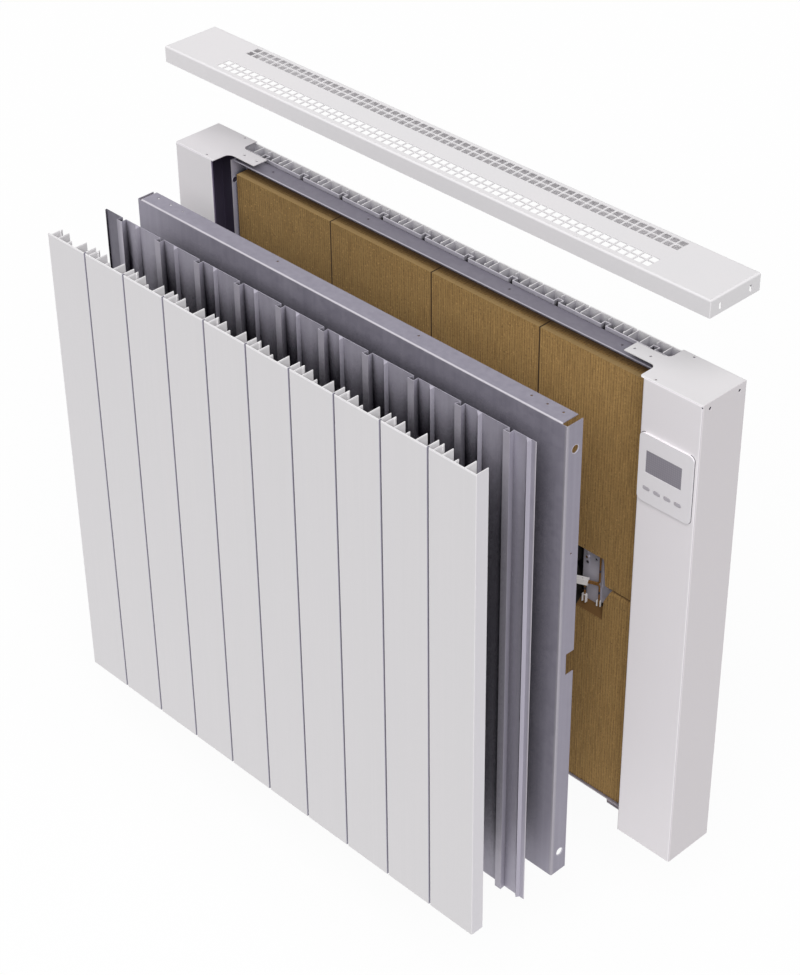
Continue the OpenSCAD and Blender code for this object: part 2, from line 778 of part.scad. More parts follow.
board_y = -column_d / 2 + 4;
module control_board() color("darkgreen") at_frame() {
    difference() {
        block([bezel_x - 36, board_y, bezel_z + 9], [bezel_x + 36, board_y + 1.6, bezel_z + bezel_h - 9]);
        at_board_screws() along_y(0, 0, board_y - over, board_y + 3, 1.6);
    }
    block([bezel_x - 14, board_y + 1.6, 596], [bezel_x + 4, board_y + 3.6, 612]);
    along_y(bezel_x + 22, 640, board_y + 1.6, board_y + 11, 6);
    block([bezel_x - 27, board_y + 1.6, 628], [bezel_x - 17, board_y + 9.6, 652]);
    for (i = [1:4])
        along_y(button_x(i), button_z, board_y - 0.3, board_y, 2);
}

power_board_y = column_d / 2 - case_t - 7.6;
module power_board() color("darkgreen") at_frame() on_right() {
    back = power_board_y + 1.6;
    difference() {
        block([34, back - 1.6, 380], [86, back, 500]);
        for (x = [38, 82])
            for (z = [385, 495])
                along_y(x, z, back - 4, back + over, 1.6);
    }
    for (x = [38, 82])
        for (z = [385, 495])
            difference() {
                along_y(x, z, back, back + 6, 3);
                along_y(x, z, back - over, back + 4, 1.2);
            }
    block([40, back - 18, 395], [68, back - 1.6, 415]);
    block([46, back - 24, 440], [76, back - 1.6, 475]);
    for (x = [46, 58])
        along_y(x, 427, back - 14, back - 1.6, 4.5);
}

module terminal_block() color("ivory") at_frame() on_right()
    difference() {
        union() {
            block([24, -14, 8], [84, 2, 26]);
            block([20, -14, case_t], [88, 2, 8]);
        }
        for (i = [0:4]) {
            translate([31 + 11.5 * i, -6, 12]) cylinder(r = 3, h = 20);
            along_y(31 + 11.5 * i, 17, -20, 5, 2);
        }
    }

module thermal_cutout() color("tan") at_frame() on_right() {
    along_x(29, 600, 12, 20, 8);
    along_x(29, 600, 20, 23, 5);
    for (y = [26, 32])
        block([23, y - 0.4, 597], [30, y + 0.4, 603]);
}

// Quarter bend of a wire in y and z, around a centre
module wire_bend(x, y, z, start)
    translate([x, y, z]) rotate([90, 0, 90]) rotate(start)
        rotate_extrude(angle = 90) translate([wire_bend_r, 0]) circle(wire_r);

// Wires from the terminals up to the power board, and from there to the controls
wire_r = 1.8;
wire_bend_r = 12;
module wiring_loom() color("dimgray") at_frame() on_right() {
    supply_z = 384;
    control_z = 488;
    entry_z = 590;
    up_y = -6;
    for (x = [42.5, 54, 65.5]) {
        translate([x, up_y, 14]) cylinder(r = wire_r, h = supply_z - wire_bend_r - 14);
        wire_bend(x, up_y + wire_bend_r, supply_z - wire_bend_r, 90);
        along_y(x, supply_z, up_y + wire_bend_r, power_board_y, wire_r);
    }
    for (x = [50, 56]) {
        along_y(x, control_z, up_y + wire_bend_r, power_board_y, wire_r);
        wire_bend(x, up_y + wire_bend_r, control_z + wire_bend_r, 180);
        translate([x, up_y, control_z + wire_bend_r])
            cylinder(r = wire_r, h = entry_z - control_z - 2 * wire_bend_r);
        wire_bend(x, up_y - wire_bend_r, entry_z - wire_bend_r, 0);
        along_y(x, entry_z, board_y + 1.6, up_y - wire_bend_r, wire_r);
    }
}

// Cable entry for the supply, clamped in the base; no cable is drawn
module cable_gland() color("black") at_frame() on_right()
    translate([gland_x, gland_y, 0])
        difference() {
            union() {
                translate([0, 0, -4]) cylinder(r = 11, h = 4);
                cylinder(r = 7.8, h = 8);
                translate([0, 0, case_t]) cylinder(r = 12, h = 5, $fn = 6);
            }
            translate([0, 0, -4 - over]) cylinder(r = 4.5, h = 14);
        }

// ---------------------------------------------------------------- wall fixing and screws

// Bracket on the wall, its hooks reaching through the slots in a column's back
module wall_bracket(x) {
    difference() {
        block([x - 22, wall_y - wall_plate_t, 60], [x + 22, wall_y, 690]);
        for (z = [fixing_low, fixing_high])
            along_y(x, z, wall_y - 4, wall_y + over, fixing_r);
        // lightening slots
        for (z = [235, 375, 515])
            front_plate(wall_y - 4, wall_y + over) translate([x, z]) rotate(90) obround(70, 14);
    }
    hook_tip = column_d / 2 - case_t - 6;
    for (z = hook_z) {
        block([x - hook_w / 2, hook_tip, z], [x + hook_w / 2, wall_y - wall_plate_t, z + hook_t]);
        block([x - hook_w / 2, hook_tip, z], [x + hook_w / 2, hook_tip + hook_t, z + 7]);
    }
    // rests that keep the column off the wall
    for (z = [80, 670])
        block([x - 15, column_d / 2, z], [x + 15, wall_y - wall_plate_t, z + hook_t]);
}
module left_wall_bracket() color("silver") at_frame() wall_bracket(-fixing_w / 2);
module right_wall_bracket() color("silver") at_frame() wall_bracket(fixing_w / 2);

module case_screws() color("gray") at_frame() {
    inner_wall = column_d / 2 - case_t - bracket_t;
    // brackets to the columns' backs
    for (z = bracket_screw_z) {
        on_right() along_y(bracket_screw_x, z, inner_wall - 2, inner_wall, 3.6);
        on_left() along_y(bracket_screw_x, z, inner_wall - 2, inner_wall, 3.6);
    }
    // brackets to the rear tray
    for (z = tray_screw_z) {
        along_x(bracket_screw_y, z, opening_r - 0.5, opening_r + 1.7, 3.2);
        along_x(bracket_screw_y, z, opening_l - 1.7, opening_l + 0.5, 3.2);
    }
    // control board to its posts
    at_board_screws() {
        along_y(0, 0, board_y + 1.6, board_y + 3.4, 2.8);
        along_y(0, 0, board_y - 2, board_y + 1.6, 1.1);
    }
}

// ---------------------------------------------------------------- the parts

left_column();
right_column();
left_base();
right_base();
left_tray_bracket();
right_tray_bracket();
rear_tray();
rear_rib_sheet();
upper_element();
lower_element();
element_leads();
feed_block();
element_plates();
lead_clips();
control_bezel();
display();
control_board();
power_board();
terminal_block();
thermal_cutout();
wiring_loom();
cable_gland();
left_wall_bracket();
right_wall_bracket();
case_screws();
front_tray();
front_rib_sheet();
top_cover();
for (i = [1:section_count])
    rear_section(i);
for (i = [1:8])
    brick(i);
for (i = [1:section_count])
    front_section(i);
for (i = [1:4])
    button(i);
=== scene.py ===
# %% [markdown]
# # A slim storage heater, opened out
# A storage heater keeps heat in a core of heavy bricks. This one hangs on a wall and is drawn
# opened out: the front layers stand forward of the core and the cover floats above it.
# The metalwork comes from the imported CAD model, in metres, in one shared frame. This lesson
# gives every piece its finish, and models the small forms that the CAD leaves out.

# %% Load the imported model
import json
import math

import bmesh
import bpy
from mathutils import Matrix, Vector


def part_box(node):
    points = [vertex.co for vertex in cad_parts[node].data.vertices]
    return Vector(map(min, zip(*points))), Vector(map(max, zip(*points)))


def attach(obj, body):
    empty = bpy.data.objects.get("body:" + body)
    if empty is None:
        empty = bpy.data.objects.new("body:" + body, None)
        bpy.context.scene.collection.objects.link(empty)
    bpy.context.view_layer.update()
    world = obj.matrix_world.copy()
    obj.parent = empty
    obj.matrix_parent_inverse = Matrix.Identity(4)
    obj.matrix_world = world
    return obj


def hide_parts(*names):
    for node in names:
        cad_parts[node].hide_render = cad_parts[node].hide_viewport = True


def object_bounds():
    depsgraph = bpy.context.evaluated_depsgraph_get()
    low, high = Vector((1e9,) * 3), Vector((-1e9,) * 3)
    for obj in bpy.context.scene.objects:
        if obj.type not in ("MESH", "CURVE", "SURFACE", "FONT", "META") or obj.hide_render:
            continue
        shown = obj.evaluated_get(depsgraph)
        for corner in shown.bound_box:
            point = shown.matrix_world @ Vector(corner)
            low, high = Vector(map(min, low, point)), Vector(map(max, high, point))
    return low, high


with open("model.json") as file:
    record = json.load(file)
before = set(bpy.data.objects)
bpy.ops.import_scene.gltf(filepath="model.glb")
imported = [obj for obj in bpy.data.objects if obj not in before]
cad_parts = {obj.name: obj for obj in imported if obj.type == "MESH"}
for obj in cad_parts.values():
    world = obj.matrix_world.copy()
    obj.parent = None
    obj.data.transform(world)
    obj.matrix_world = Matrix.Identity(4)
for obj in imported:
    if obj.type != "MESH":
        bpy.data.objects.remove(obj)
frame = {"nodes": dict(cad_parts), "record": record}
cad_low, cad_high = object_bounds()
nodes = frame["nodes"]
print(len(nodes), "nodes, box", [round(v, 4) for v in (*cad_low, *cad_high)])

# %% [markdown]
# ## Where things are
# The sizes below are in the heater's own millimetres: x from the middle of the width, y from
# the middle of the columns' depth with the front at -y, and z up from the floor of the heater.
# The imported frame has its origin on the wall, between the wall fixings, so one helper moves a
# point there. Pieces of the opened-out tray and panel also stand forward.

# %% Heater millimetres to frame metres
MM = 0.001
METRE = 1000  # a pattern's Scale is this over the size of its detail in millimetres
WALL_Y = 61.25
FIXING_Z = 375.0
TRAY_OUT, PANEL_OUT = 155.0, 286.0
PANEL_LEFT, SECTION_PITCH = -404.4, 79.5
CORE_LEFT, BRICK_PITCH = -397.2, 194.6


def place(x, y, z, forward=0.0):
    return Vector((x, y - WALL_Y - forward, z - FIXING_Z)) * MM


print("core's left corner at", [round(v, 4) for v in place(CORE_LEFT, 0, 0)])

# %% [markdown]
# ## The camera
# The picture looks down on the heater's right front corner. Its perspective was solved from the
# straight edges of the casing, so the camera stands where that says, with a slight roll.

# %% Camera
AZIMUTH, ELEVATION, ROLL = map(math.radians, (46.07, 35.43, -0.71))
DISTANCE = 2.77039
AIM = Vector((278.88, -403.10, 298.33)) * MM
FOCAL_PIXELS, PICTURE_HEIGHT, SENSOR = 2368.42, 975, 36.0

back = Vector((math.sin(AZIMUTH) * math.cos(ELEVATION),
               -math.cos(AZIMUTH) * math.cos(ELEVATION), math.sin(ELEVATION)))
right = Vector((math.cos(AZIMUTH), math.sin(AZIMUTH), 0))
up = back.cross(right)
turned_right = right * math.cos(ROLL) + up * math.sin(ROLL)
turned_up = up * math.cos(ROLL) - right * math.sin(ROLL)
lens = bpy.data.cameras.new("camera")
lens.sensor_fit = "VERTICAL"
lens.sensor_height = SENSOR
lens.lens = SENSOR * FOCAL_PIXELS / PICTURE_HEIGHT
lens.clip_end = 100
camera = bpy.data.objects.new("camera", lens)
bpy.context.scene.collection.objects.link(camera)
camera.matrix_world = Matrix((turned_right, turned_up, back)).transposed().to_4x4()
camera.location = AIM + back * DISTANCE
bpy.context.scene.camera = camera
bpy.context.scene.view_settings.view_transform = "Standard"
print("lens", round(lens.lens, 2), "mm")

# %% [markdown]
# ## Materials: two helpers
# Colours are written as sRGB hex, as a paint chart gives them, and one function turns them
# linear, as the shader wants. Another adds a node with its settings and links, so that a
# material reads as a short list of nodes, with the main shader and the output at its end.

# %% Colour and node helpers


def linear(text):
    """A hex colour through the sRGB curve: linear red, green and blue, and alpha."""
    values = [int(text[i:i + 2], 16) / 255 for i in (1, 3, 5)]
    return (*[v / 12.92 if v <= 0.04045 else ((v + 0.055) / 1.055) ** 2.4 for v in values], 1.0)


def add(tree, kind, sockets=None, **settings):
    """Adds a node; sockets maps an input to a hex colour, a value or another node's output."""
    made = tree.nodes.new("ShaderNode" + kind)
    for name, value in settings.items():
        setattr(made, name, value)
    for name, value in (sockets or {}).items():
        if isinstance(value, bpy.types.NodeSocket):
            tree.links.new(value, made.inputs[name])
        else:
            made.inputs[name].default_value = linear(value) if isinstance(value, str) else value
    return made


def new_material(name):
    """An empty material, its node tree and the piece's own coordinates in it."""
    made = bpy.data.materials.new(name)
    made.use_nodes = True
    made.node_tree.nodes.clear()
    return made, made.node_tree, add(made.node_tree, "TexCoord").outputs["Object"]


print("white paint in linear:", [round(v, 3) for v in linear("#e2e0e1")[:3]])

# %% [markdown]
# ## A dark inside
# Inside a column it is almost dark, because the sheet closes it on all sides but one. Bounced
# light reaches further in a render than in the real thing, so the paint is drawn darker inside
# a box: painted shade. The mask asks how far a point lies inside it. Another mask marks what
# lies close to a line or a plane. Folds and single faces get their painted highlights and
# painted shade with it. A third helper lays tones over a colour by the value of a pattern.

# %% Masks and marks
SOFT_EDGE = 0.4 * MM
FULL_WITHIN = 0.6
# a distance is taken along one axis from a plane, and along two from a line
AT_X, AT_Y, AT_Z = (1, 0, 0), (0, 1, 0), (0, 0, 1)
ALONG_X, ALONG_Y, ALONG_Z = (0, 1, 1), (1, 0, 1), (1, 1, 0)


def inside_box(tree, where, low, high):
    """1 inside the box between two corners, 0 outside it."""
    low, high = place(*low), place(*high)
    offset = add(tree, "VectorMath", {0: where, 1: (low + high) / 2},
                 operation="SUBTRACT").outputs[0]
    size = add(tree, "VectorMath", {0: offset}, operation="ABSOLUTE").outputs[0]
    past = add(tree, "VectorMath", {0: size, 1: (high - low) / 2},
               operation="SUBTRACT").outputs[0]
    axes = add(tree, "SeparateXYZ", {0: past}).outputs
    most = add(tree, "Math", {0: axes[0], 1: axes[1]}, operation="MAXIMUM").outputs[0]
    most = add(tree, "Math", {0: most, 1: axes[2]}, operation="MAXIMUM").outputs[0]
    return add(tree, "MapRange", {"Value": most, "From Min": 0.0,
                                  "From Max": -SOFT_EDGE}).outputs[0]


def near_line(tree, where, axes_kept, point, reach_mm):
    """1 close to a line or plane through the point, 0 further away than its reach."""
    flat = add(tree, "Mapping", {"Vector": where, "Scale": axes_kept}).outputs[0]
    foot = Vector([p * k for p, k in zip(point, axes_kept)])
    gap = add(tree, "VectorMath", {0: flat, 1: foot}, operation="DISTANCE").outputs["Value"]
    return add(tree, "MapRange", {"Value": gap, "From Min": reach_mm * MM,
                                  "From Max": reach_mm * MM * FULL_WITHIN}).outputs[0]


def tint(tree, where, colour, places):
    """Mixes a tone over a colour along each line or plane in the list."""
    for axes_kept, point, reach_mm, tone in places:
        share = near_line(tree, where, axes_kept, point, reach_mm)
        colour = add(tree, "Mix", {0: share, 6: colour, 7: tone}, data_type="RGBA").outputs[2]
    return colour


def marked(tree, colour, marks):
    """Mixes each tone over a colour as a value goes from its first to its second bound."""
    for value, first, second, most, tone in marks:
        share = add(tree, "MapRange", {"Value": value, "From Min": first, "From Max": second,
                                       "To Max": most}).outputs[0]
        colour = add(tree, "Mix", {0: share, 6: colour, 7: tone}, data_type="RGBA").outputs[2]
    return colour


print("box masks fade over", SOFT_EDGE / MM, "mm")

# %% [markdown]
# ## Powder coat
# The casing is folded sheet steel with white powder coat: paint powder baked until it flows
# together. Its skin is satin with a faint orange peel, which is a slow ripple and not a grain.
# It is far too shallow to model, so a noise drives a Bump. The real ripple is about 1.5 mm
# across; it is drawn at 4 mm so that it shows at all.

# %% Powder coat on the casing
COLUMN_EDGE = place(482, -41.25, 0)  # where the right column's front meets its side
INSIDE_LEFT = ((-481.5, -40.8, -2), (-398, 40.8, 739.4))
INSIDE_RIGHT = ((390.2, -40.8, -2), (481.5, 40.8, 739.4))


def powder_coat(name, warm, cool, dark_box=None, faces=()):
    made, tree, where = new_material(name)
    cloud = add(tree, "TexNoise", {"Vector": where, "Scale": METRE / 90,
                                   "Detail": 3.0}).outputs["Fac"]
    paint = marked(tree, warm, ((cloud, 0.3, 0.7, 1.0, cool),))
    # painted light and shade: each face in the list gets its own tone
    paint = tint(tree, where, paint, faces)
    sheen = 0.5
    # painted shade inside the box: darker paint and no sheen there
    if dark_box:
        mask = inside_box(tree, where, *dark_box)
        paint = add(tree, "Mix", {0: mask, 6: paint, 7: "#675f75"}, data_type="RGBA").outputs[2]
        sheen = add(tree, "MapRange", {"Value": mask, "To Min": sheen, "To Max": 0.0}).outputs[0]
    ripple = add(tree, "TexNoise", {"Vector": where, "Scale": METRE / 4,
                                    "Detail": 1.0}).outputs["Fac"]
    rough = add(tree, "MapRange", {"Value": ripple, "From Min": 0.3, "From Max": 0.7,
                                   "To Min": 0.40, "To Max": 0.49}).outputs[0]
    peel = add(tree, "Bump", {"Height": ripple, "Distance": 0.03 * MM,
                              "Strength": 0.25}).outputs[0]
    shader = add(tree, "BsdfPrincipled", {"Base Color": paint, "Roughness": rough,
                                          "Normal": peel, "Specular IOR Level": sheen})
    add(tree, "OutputMaterial", {"Surface": shader.outputs[0]})
    return made


# one white paint: the left column's is a touch darker as painted shade; the right column's front
# is painted lighter and its side darker
casing = powder_coat("casing_powder_coat", "#e4e1e3", "#e2e0e2")
left_casing = powder_coat("casing_powder_coat_left", "#dedadd", "#dcd9dc", INSIDE_LEFT)
right_casing = powder_coat("casing_powder_coat_right", "#e3e0e2", "#e1dfe1", INSIDE_RIGHT,
                           ((AT_Y, COLUMN_EDGE, 0.8, "#ece8eb"),
                            (AT_X, COLUMN_EDGE, 0.8, "#dcd7da")))
print("casing:", len(right_casing.node_tree.nodes), "nodes")

# %% [markdown]
# ## Painted extrusions
# The sections are aluminium pressed through a die, then coated white. The die leaves very
# faint lines along the length, which the paint softens but doesn't hide. Two more things show
# at this scale. Sawn ends and sharp corners get a painted highlight, a little brighter than
# the rest. And in the 2 mm slit between two sections hardly any light comes back, so the
# section's far flank is drawn in painted shade behind its face. The rear sections stand turned
# round with their fins between cover and tray, where they get painted shade further down.

# %% Powder coat over die lines
SAWN_Z = 735.9
# from a section's left edge: its rounded corner, the flank in a slit, the last one's flank
CORNER_X, SLIT_FLANK_X, END_FLANK_X = 1.2, 76.7, 77.2
BEHIND_FACE = place(0, -41.1, 0, PANEL_OUT).y + 2 * MM
REAR_FINS_END = place(0, 38.6, 0).y


def painted_extrusion(name, slit_in_shade, deep=False):
    made, tree, where = new_material(name)
    cloud = add(tree, "TexNoise", {"Vector": where, "Scale": METRE / 120,
                                   "Detail": 3.0}).outputs["Fac"]
    along = add(tree, "Mapping", {"Vector": where, "Scale": (1, 1, 0.01)}).outputs[0]
    lines = add(tree, "TexNoise", {"Vector": along, "Scale": METRE / 3,
                                   "Detail": 2.0}).outputs["Fac"]
    paint = add(tree, "Mix", {0: cloud, 6: "#e2dfe1", 7: "#dfdddf"}, data_type="RGBA").outputs[2]
    paint = add(tree, "Mix", {0: lines, 6: paint, 7: "#dddbdd"}, data_type="RGBA").outputs[2]
    east, inward, height = add(tree, "SeparateXYZ", {0: where}).outputs
    in_row = add(tree, "Math", {0: east, 1: PANEL_LEFT * MM}, operation="SUBTRACT").outputs[0]
    across = add(tree, "Math", {0: in_row, 1: SECTION_PITCH * MM},
                 operation="FLOORED_MODULO").outputs[0]
    # painted highlight on the sawn top ends and the rounded left corner
    sawn = add(tree, "Math", {0: height, 1: (SAWN_Z - FIXING_Z) * MM},
               operation="GREATER_THAN").outputs[0]
    corner = add(tree, "Math", {0: across, 1: CORNER_X * MM}, operation="LESS_THAN").outputs[0]
    bright = add(tree, "Math", {0: sawn, 1: corner}, operation="MAXIMUM").outputs[0]
    paint = add(tree, "Mix", {0: bright, 6: paint, 7: "#f0eef0"}, data_type="RGBA").outputs[2]
    flank_x = SLIT_FLANK_X if slit_in_shade else END_FLANK_X
    flank = add(tree, "Math", {0: across, 1: flank_x * MM}, operation="GREATER_THAN").outputs[0]
    if slit_in_shade:
        behind = add(tree, "Math", {0: inward, 1: BEHIND_FACE, 2: 2.2 * MM},
                     operation="COMPARE").outputs[0]
        flank = add(tree, "Math", {0: flank, 1: behind}, operation="MULTIPLY").outputs[0]
    flank_tone = "#8e8b99" if slit_in_shade else "#e1dee3"
    paint = add(tree, "Mix", {0: flank, 6: paint, 7: flank_tone}, data_type="RGBA").outputs[2]
    if deep:
        # painted shade on the rear fins, which stand across the light in front of their plates,
        # and in the nooks between them
        on_fin = add(tree, "Math", {0: inward, 1: REAR_FINS_END}, operation="LESS_THAN").outputs[0]
        paint = add(tree, "Mix", {0: on_fin, 6: paint, 7: "#c6c3c9"}, data_type="RGBA").outputs[2]
        nook = add(tree, "AmbientOcclusion", {"Distance": 50 * MM}, samples=8).outputs["AO"]
        paint = marked(tree, "#85828d", ((nook, 0.03, 0.36, 1.0, paint),))
        # painted highlight on the sawn ends again
        paint = add(tree, "Mix", {0: sawn, 6: paint, 7: "#f4f2f4"}, data_type="RGBA").outputs[2]
    ripple = add(tree, "TexNoise", {"Vector": where, "Scale": METRE / 4,
                                    "Detail": 1.0}).outputs["Fac"]
    rough = add(tree, "MapRange", {"Value": ripple, "To Min": 0.38, "To Max": 0.5}).outputs[0]
    drawn = add(tree, "Bump", {"Height": lines, "Distance": 0.02 * MM,
                               "Strength": 0.2}).outputs[0]
    shader = add(tree, "BsdfPrincipled", {"Base Color": paint, "Roughness": rough,
                                          "Normal": drawn})
    add(tree, "OutputMaterial", {"Surface": shader.outputs[0]})
    return made


section_paint = painted_extrusion("extruded_aluminium_powder_coat", True)
end_section_paint = painted_extrusion("extruded_aluminium_powder_coat_open_end", False)
rear_section_paint = painted_extrusion("extruded_aluminium_powder_coat_rear", False, deep=True)
print("sections:", len(section_paint.node_tree.nodes), "nodes")

# %% [markdown]
# ## Galvanised sheet
# The trays and the ribbed sheets are steel dipped in zinc and rolled. Zinc dries to a dull
# grey with a cool cast. Two things tell it from plain steel: spangle, which is crystals some
# millimetres wide, and streaks along the rolling direction, here upright. The zinc has gone
# chalky, so only part of it answers the light as metal.
# Between the opened-out layers it is nearly black in the picture. A render is too kind there,
# because light bounces off the white sections. So the zinc asks how open its surroundings
# are within 20 cm and gets painted shade where a layer stands close in front. Folded edges go
# the other way: a painted highlight draws a bright line along them.


# %% Galvanised steel
def galvanised_steel(name, first, second, shut, free, highlight_and_shade_bands=(), dark_box=None, samples=8):
    """Zinc with painted shade where it is shut in, and its own colours where it stands free."""
    made, tree, where = new_material(name)
    crystals = add(tree, "TexVoronoi", {"Vector": where, "Scale": METRE / 7}).outputs["Color"]
    crystal = add(tree, "SeparateColor", {"Color": crystals}).outputs[0]
    rolled = add(tree, "Mapping", {"Vector": where, "Scale": (1, 1, 0.02)}).outputs[0]
    streaks = add(tree, "TexNoise", {"Vector": rolled, "Scale": METRE / 9, "Detail": 4.0,
                                     "Roughness": 0.6}).outputs["Fac"]
    fine = add(tree, "TexNoise", {"Vector": rolled, "Scale": METRE / 1.6,
                                  "Detail": 2.0}).outputs["Fac"]
    zinc = marked(tree, first, ((streaks, 0.25, 0.75, 1.0, second),))
    spangle = add(tree, "Math", {0: crystal, 1: 0.15}, operation="MULTIPLY").outputs[0]
    zinc = add(tree, "Mix", {0: spangle, 6: zinc, 7: "#b5b1bb"}, data_type="RGBA").outputs[2]
    # painted highlights along folds and edges, and painted shade on some strips
    zinc = tint(tree, where, zinc, highlight_and_shade_bands)
    # painted shade where little around is open, with the sheen taken down there too
    nook = add(tree, "AmbientOcclusion", {"Distance": 200 * MM}, samples=samples).outputs["AO"]
    in_open = add(tree, "MapRange", {"Value": nook, "From Min": shut,
                                     "From Max": free}).outputs[0]
    zinc = add(tree, "Mix", {0: in_open, 6: "#0d0a12", 7: zinc}, data_type="RGBA").outputs[2]
    # painted shade on the window's dark side
    if dark_box:
        mask = inside_box(tree, where, *dark_box)
        zinc = add(tree, "Mix", {0: mask, 6: zinc, 7: "#0b090d"}, data_type="RGBA").outputs[2]
    sheen = add(tree, "Math", {0: in_open, 1: 0.5}, operation="MULTIPLY").outputs[0]
    rough = add(tree, "MapRange", {"Value": crystal, "To Min": 0.42, "To Max": 0.56}).outputs[0]
    grain = add(tree, "Bump", {"Height": fine, "Distance": 0.02 * MM,
                               "Strength": 0.35}).outputs[0]
    shader = add(tree, "BsdfPrincipled", {"Base Color": zinc, "Metallic": 0.35,
                                          "Roughness": rough, "Normal": grain,
                                          "Specular IOR Level": sheen})
    add(tree, "OutputMaterial", {"Surface": shader.outputs[0]})
    return made


# %% The four kinds of galvanised sheet
tray_low, tray_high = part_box("front_tray")
sheet_low, sheet_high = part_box("front_rib_sheet")
fold = (tray_high.x, tray_low.y, tray_high.z)
REAR_FOLD = place(-402, -7.7, 730)  # the rear tray's upper left corner
WINDOW_X = CORE_LEFT + 3.5 * BRICK_PITCH
WINDOW_DARK = ((WINDOW_X - 42, -3.2, 300), (WINDOW_X - 18.4, 60, 404))
# Base tones differ from kind to kind to suit the light each gets: painted light. The bands are
# painted highlights along folds and edges, with painted shade on the rear tray's top flange and
# the ribbed sheet's left end. WINDOW_DARK is painted shade.
galvanised = galvanised_steel("hot_dip_galvanised_steel", "#8b8794", "#9b97a5", 0.08, 0.22,
                              ((AT_X, REAR_FOLD, 1.5, "#b8b5c6"),
                               (AT_Z, REAR_FOLD, 1.4, "#7b7783"),
                               (AT_Y, REAR_FOLD, 1.7, "#c2bec9")), WINDOW_DARK)
folded_tray = galvanised_steel("hot_dip_galvanised_steel_folded", "#8d8997", "#9995a3",
                               0.10, 0.24, ((ALONG_Z, fold, 4.6, "#a5a1aa"),
                                            (ALONG_X, fold, 2.2, "#cdc9d0")))
ribbed = galvanised_steel("hot_dip_galvanised_steel_ribbed", "#a29eab", "#b0acb9", 0.22, 0.42,
                          ((AT_Y, sheet_low, 1.0, "#b9b5c0"), (AT_X, sheet_high, 1.4, "#c9c5cd"),
                           (AT_X, sheet_low, 42.0, "#6f6c77")), samples=16)
rear_ribbed = galvanised_steel("hot_dip_galvanised_steel_rear", "#b0adb6", "#b9b6bf", 0.08, 0.3,
                               ((AT_Z, sheet_high, 0.9, "#e9e6ec"),))
print("front tray's fold at", [round(v, 4) for v in fold])

# %% [markdown]
# ## Storage bricks
# The bricks are pressed from iron ore or magnesite and fired: heavy, matt and ochre brown,
# with a sandy grain and dark specks. The press leaves fine grooves 4.3 mm apart, some deeper
# than others. They are modelled further on, and here they get dust and painted shade: the mask
# measures how far a point is from the nearest groove of its own brick. The joints between
# bricks are darkest. Towards the right the core stands behind the edge of the front layers and
# gets less light than in the picture, so the clay is painted lighter there.


# %% Clay
def fired_clay(tree, where, east):
    """Sandy clay, lighter to the right, with pale patches and the press's drag marks."""
    grain = add(tree, "TexNoise", {"Vector": where, "Scale": METRE / 1.6, "Detail": 4.0,
                                   "Roughness": 0.65}).outputs["Fac"]
    patches = add(tree, "TexNoise", {"Vector": where, "Scale": METRE / 26,
                                     "Detail": 3.0}).outputs["Fac"]
    upright = add(tree, "Mapping", {"Vector": where, "Scale": (1, 1, 0.06)}).outputs[0]
    drag = add(tree, "TexNoise", {"Vector": upright, "Scale": METRE / 2.4,
                                  "Detail": 3.0}).outputs["Fac"]
    sandy = add(tree, "MapRange", {"Value": grain, "From Min": 0.3, "From Max": 0.7}).outputs[0]
    clay = add(tree, "Mix", {0: sandy, 6: "#7c6138", 7: "#9d7e4b"}, data_type="RGBA").outputs[2]
    lit = add(tree, "Mix", {0: sandy, 6: "#967446", 7: "#bb965a"}, data_type="RGBA").outputs[2]
    clay = marked(tree, clay, ((east, -0.2, 0.26, 1.0, lit), (patches, 0.4, 0.8, 0.35, "#a68754"),
                               (drag, 0.42, 0.66, 0.4, "#6f532d")))
    return clay, grain


# %% Dust and painted shade in the grooves, specks and chips
GROOVES, FACE_INSET = 45, 0.25
GROOVE_PITCH = (BRICK_PITCH - 2 * FACE_INSET) / GROOVES


def groove_dust_and_shade(tree, where, in_brick, clay):
    in_face = add(tree, "Math", {0: in_brick, 1: FACE_INSET * MM},
                  operation="SUBTRACT").outputs[0]
    breaks = add(tree, "TexNoise", {"Vector": where, "Scale": METRE / 5,
                                    "Detail": 2.0}).outputs["Fac"]
    breaks = add(tree, "MapRange", {"Value": breaks, "From Min": 0.35,
                                    "From Max": 0.6}).outputs[0]
    # dust and painted shade in the grooves
    for every, width, most in ((1, 1.4, 0.42), (3, 1.2, 0.16)):
        near = add(tree, "Math", {0: in_face, 1: every * GROOVE_PITCH * MM / 2},
                   operation="PINGPONG").outputs[0]
        shade = add(tree, "MapRange", {"Value": near, "From Min": width * MM,
                                       "From Max": 0.2 * MM, "To Max": most}).outputs[0]
        shade = add(tree, "Math", {0: shade, 1: breaks}, operation="MULTIPLY").outputs[0]
        clay = add(tree, "Mix", {0: shade, 6: clay, 7: "#4e3a20"}, data_type="RGBA").outputs[2]
    specks = add(tree, "TexVoronoi", {"Vector": where, "Scale": METRE / 9}).outputs["Distance"]
    chips = add(tree, "TexVoronoi", {"Vector": where, "Scale": METRE / 6.5}).outputs["Distance"]
    return marked(tree, clay, ((specks, 0.13, 0.08, 0.6, "#4c3922"),
                               (chips, 0.22, 0.12, 0.5, "#c39c60")))


print("grooves", round(GROOVE_PITCH, 2), "mm apart")

# %% The whole brick, with its joints, flat top and window
BRICK_JOINT, BRICK_TOP = 360.7, 706.0
JOINT_DARK, JOINT_FADE = 0.7, 1.5
RIM_BACK, RIM_FRONT, SHELF_BACK = [place(0, y, 0).y for y in (5, 3, 13)]
WINDOW_SILL = ((WINDOW_X - 28, -3.3, 300), (WINDOW_X + 28, 9, 313.5))


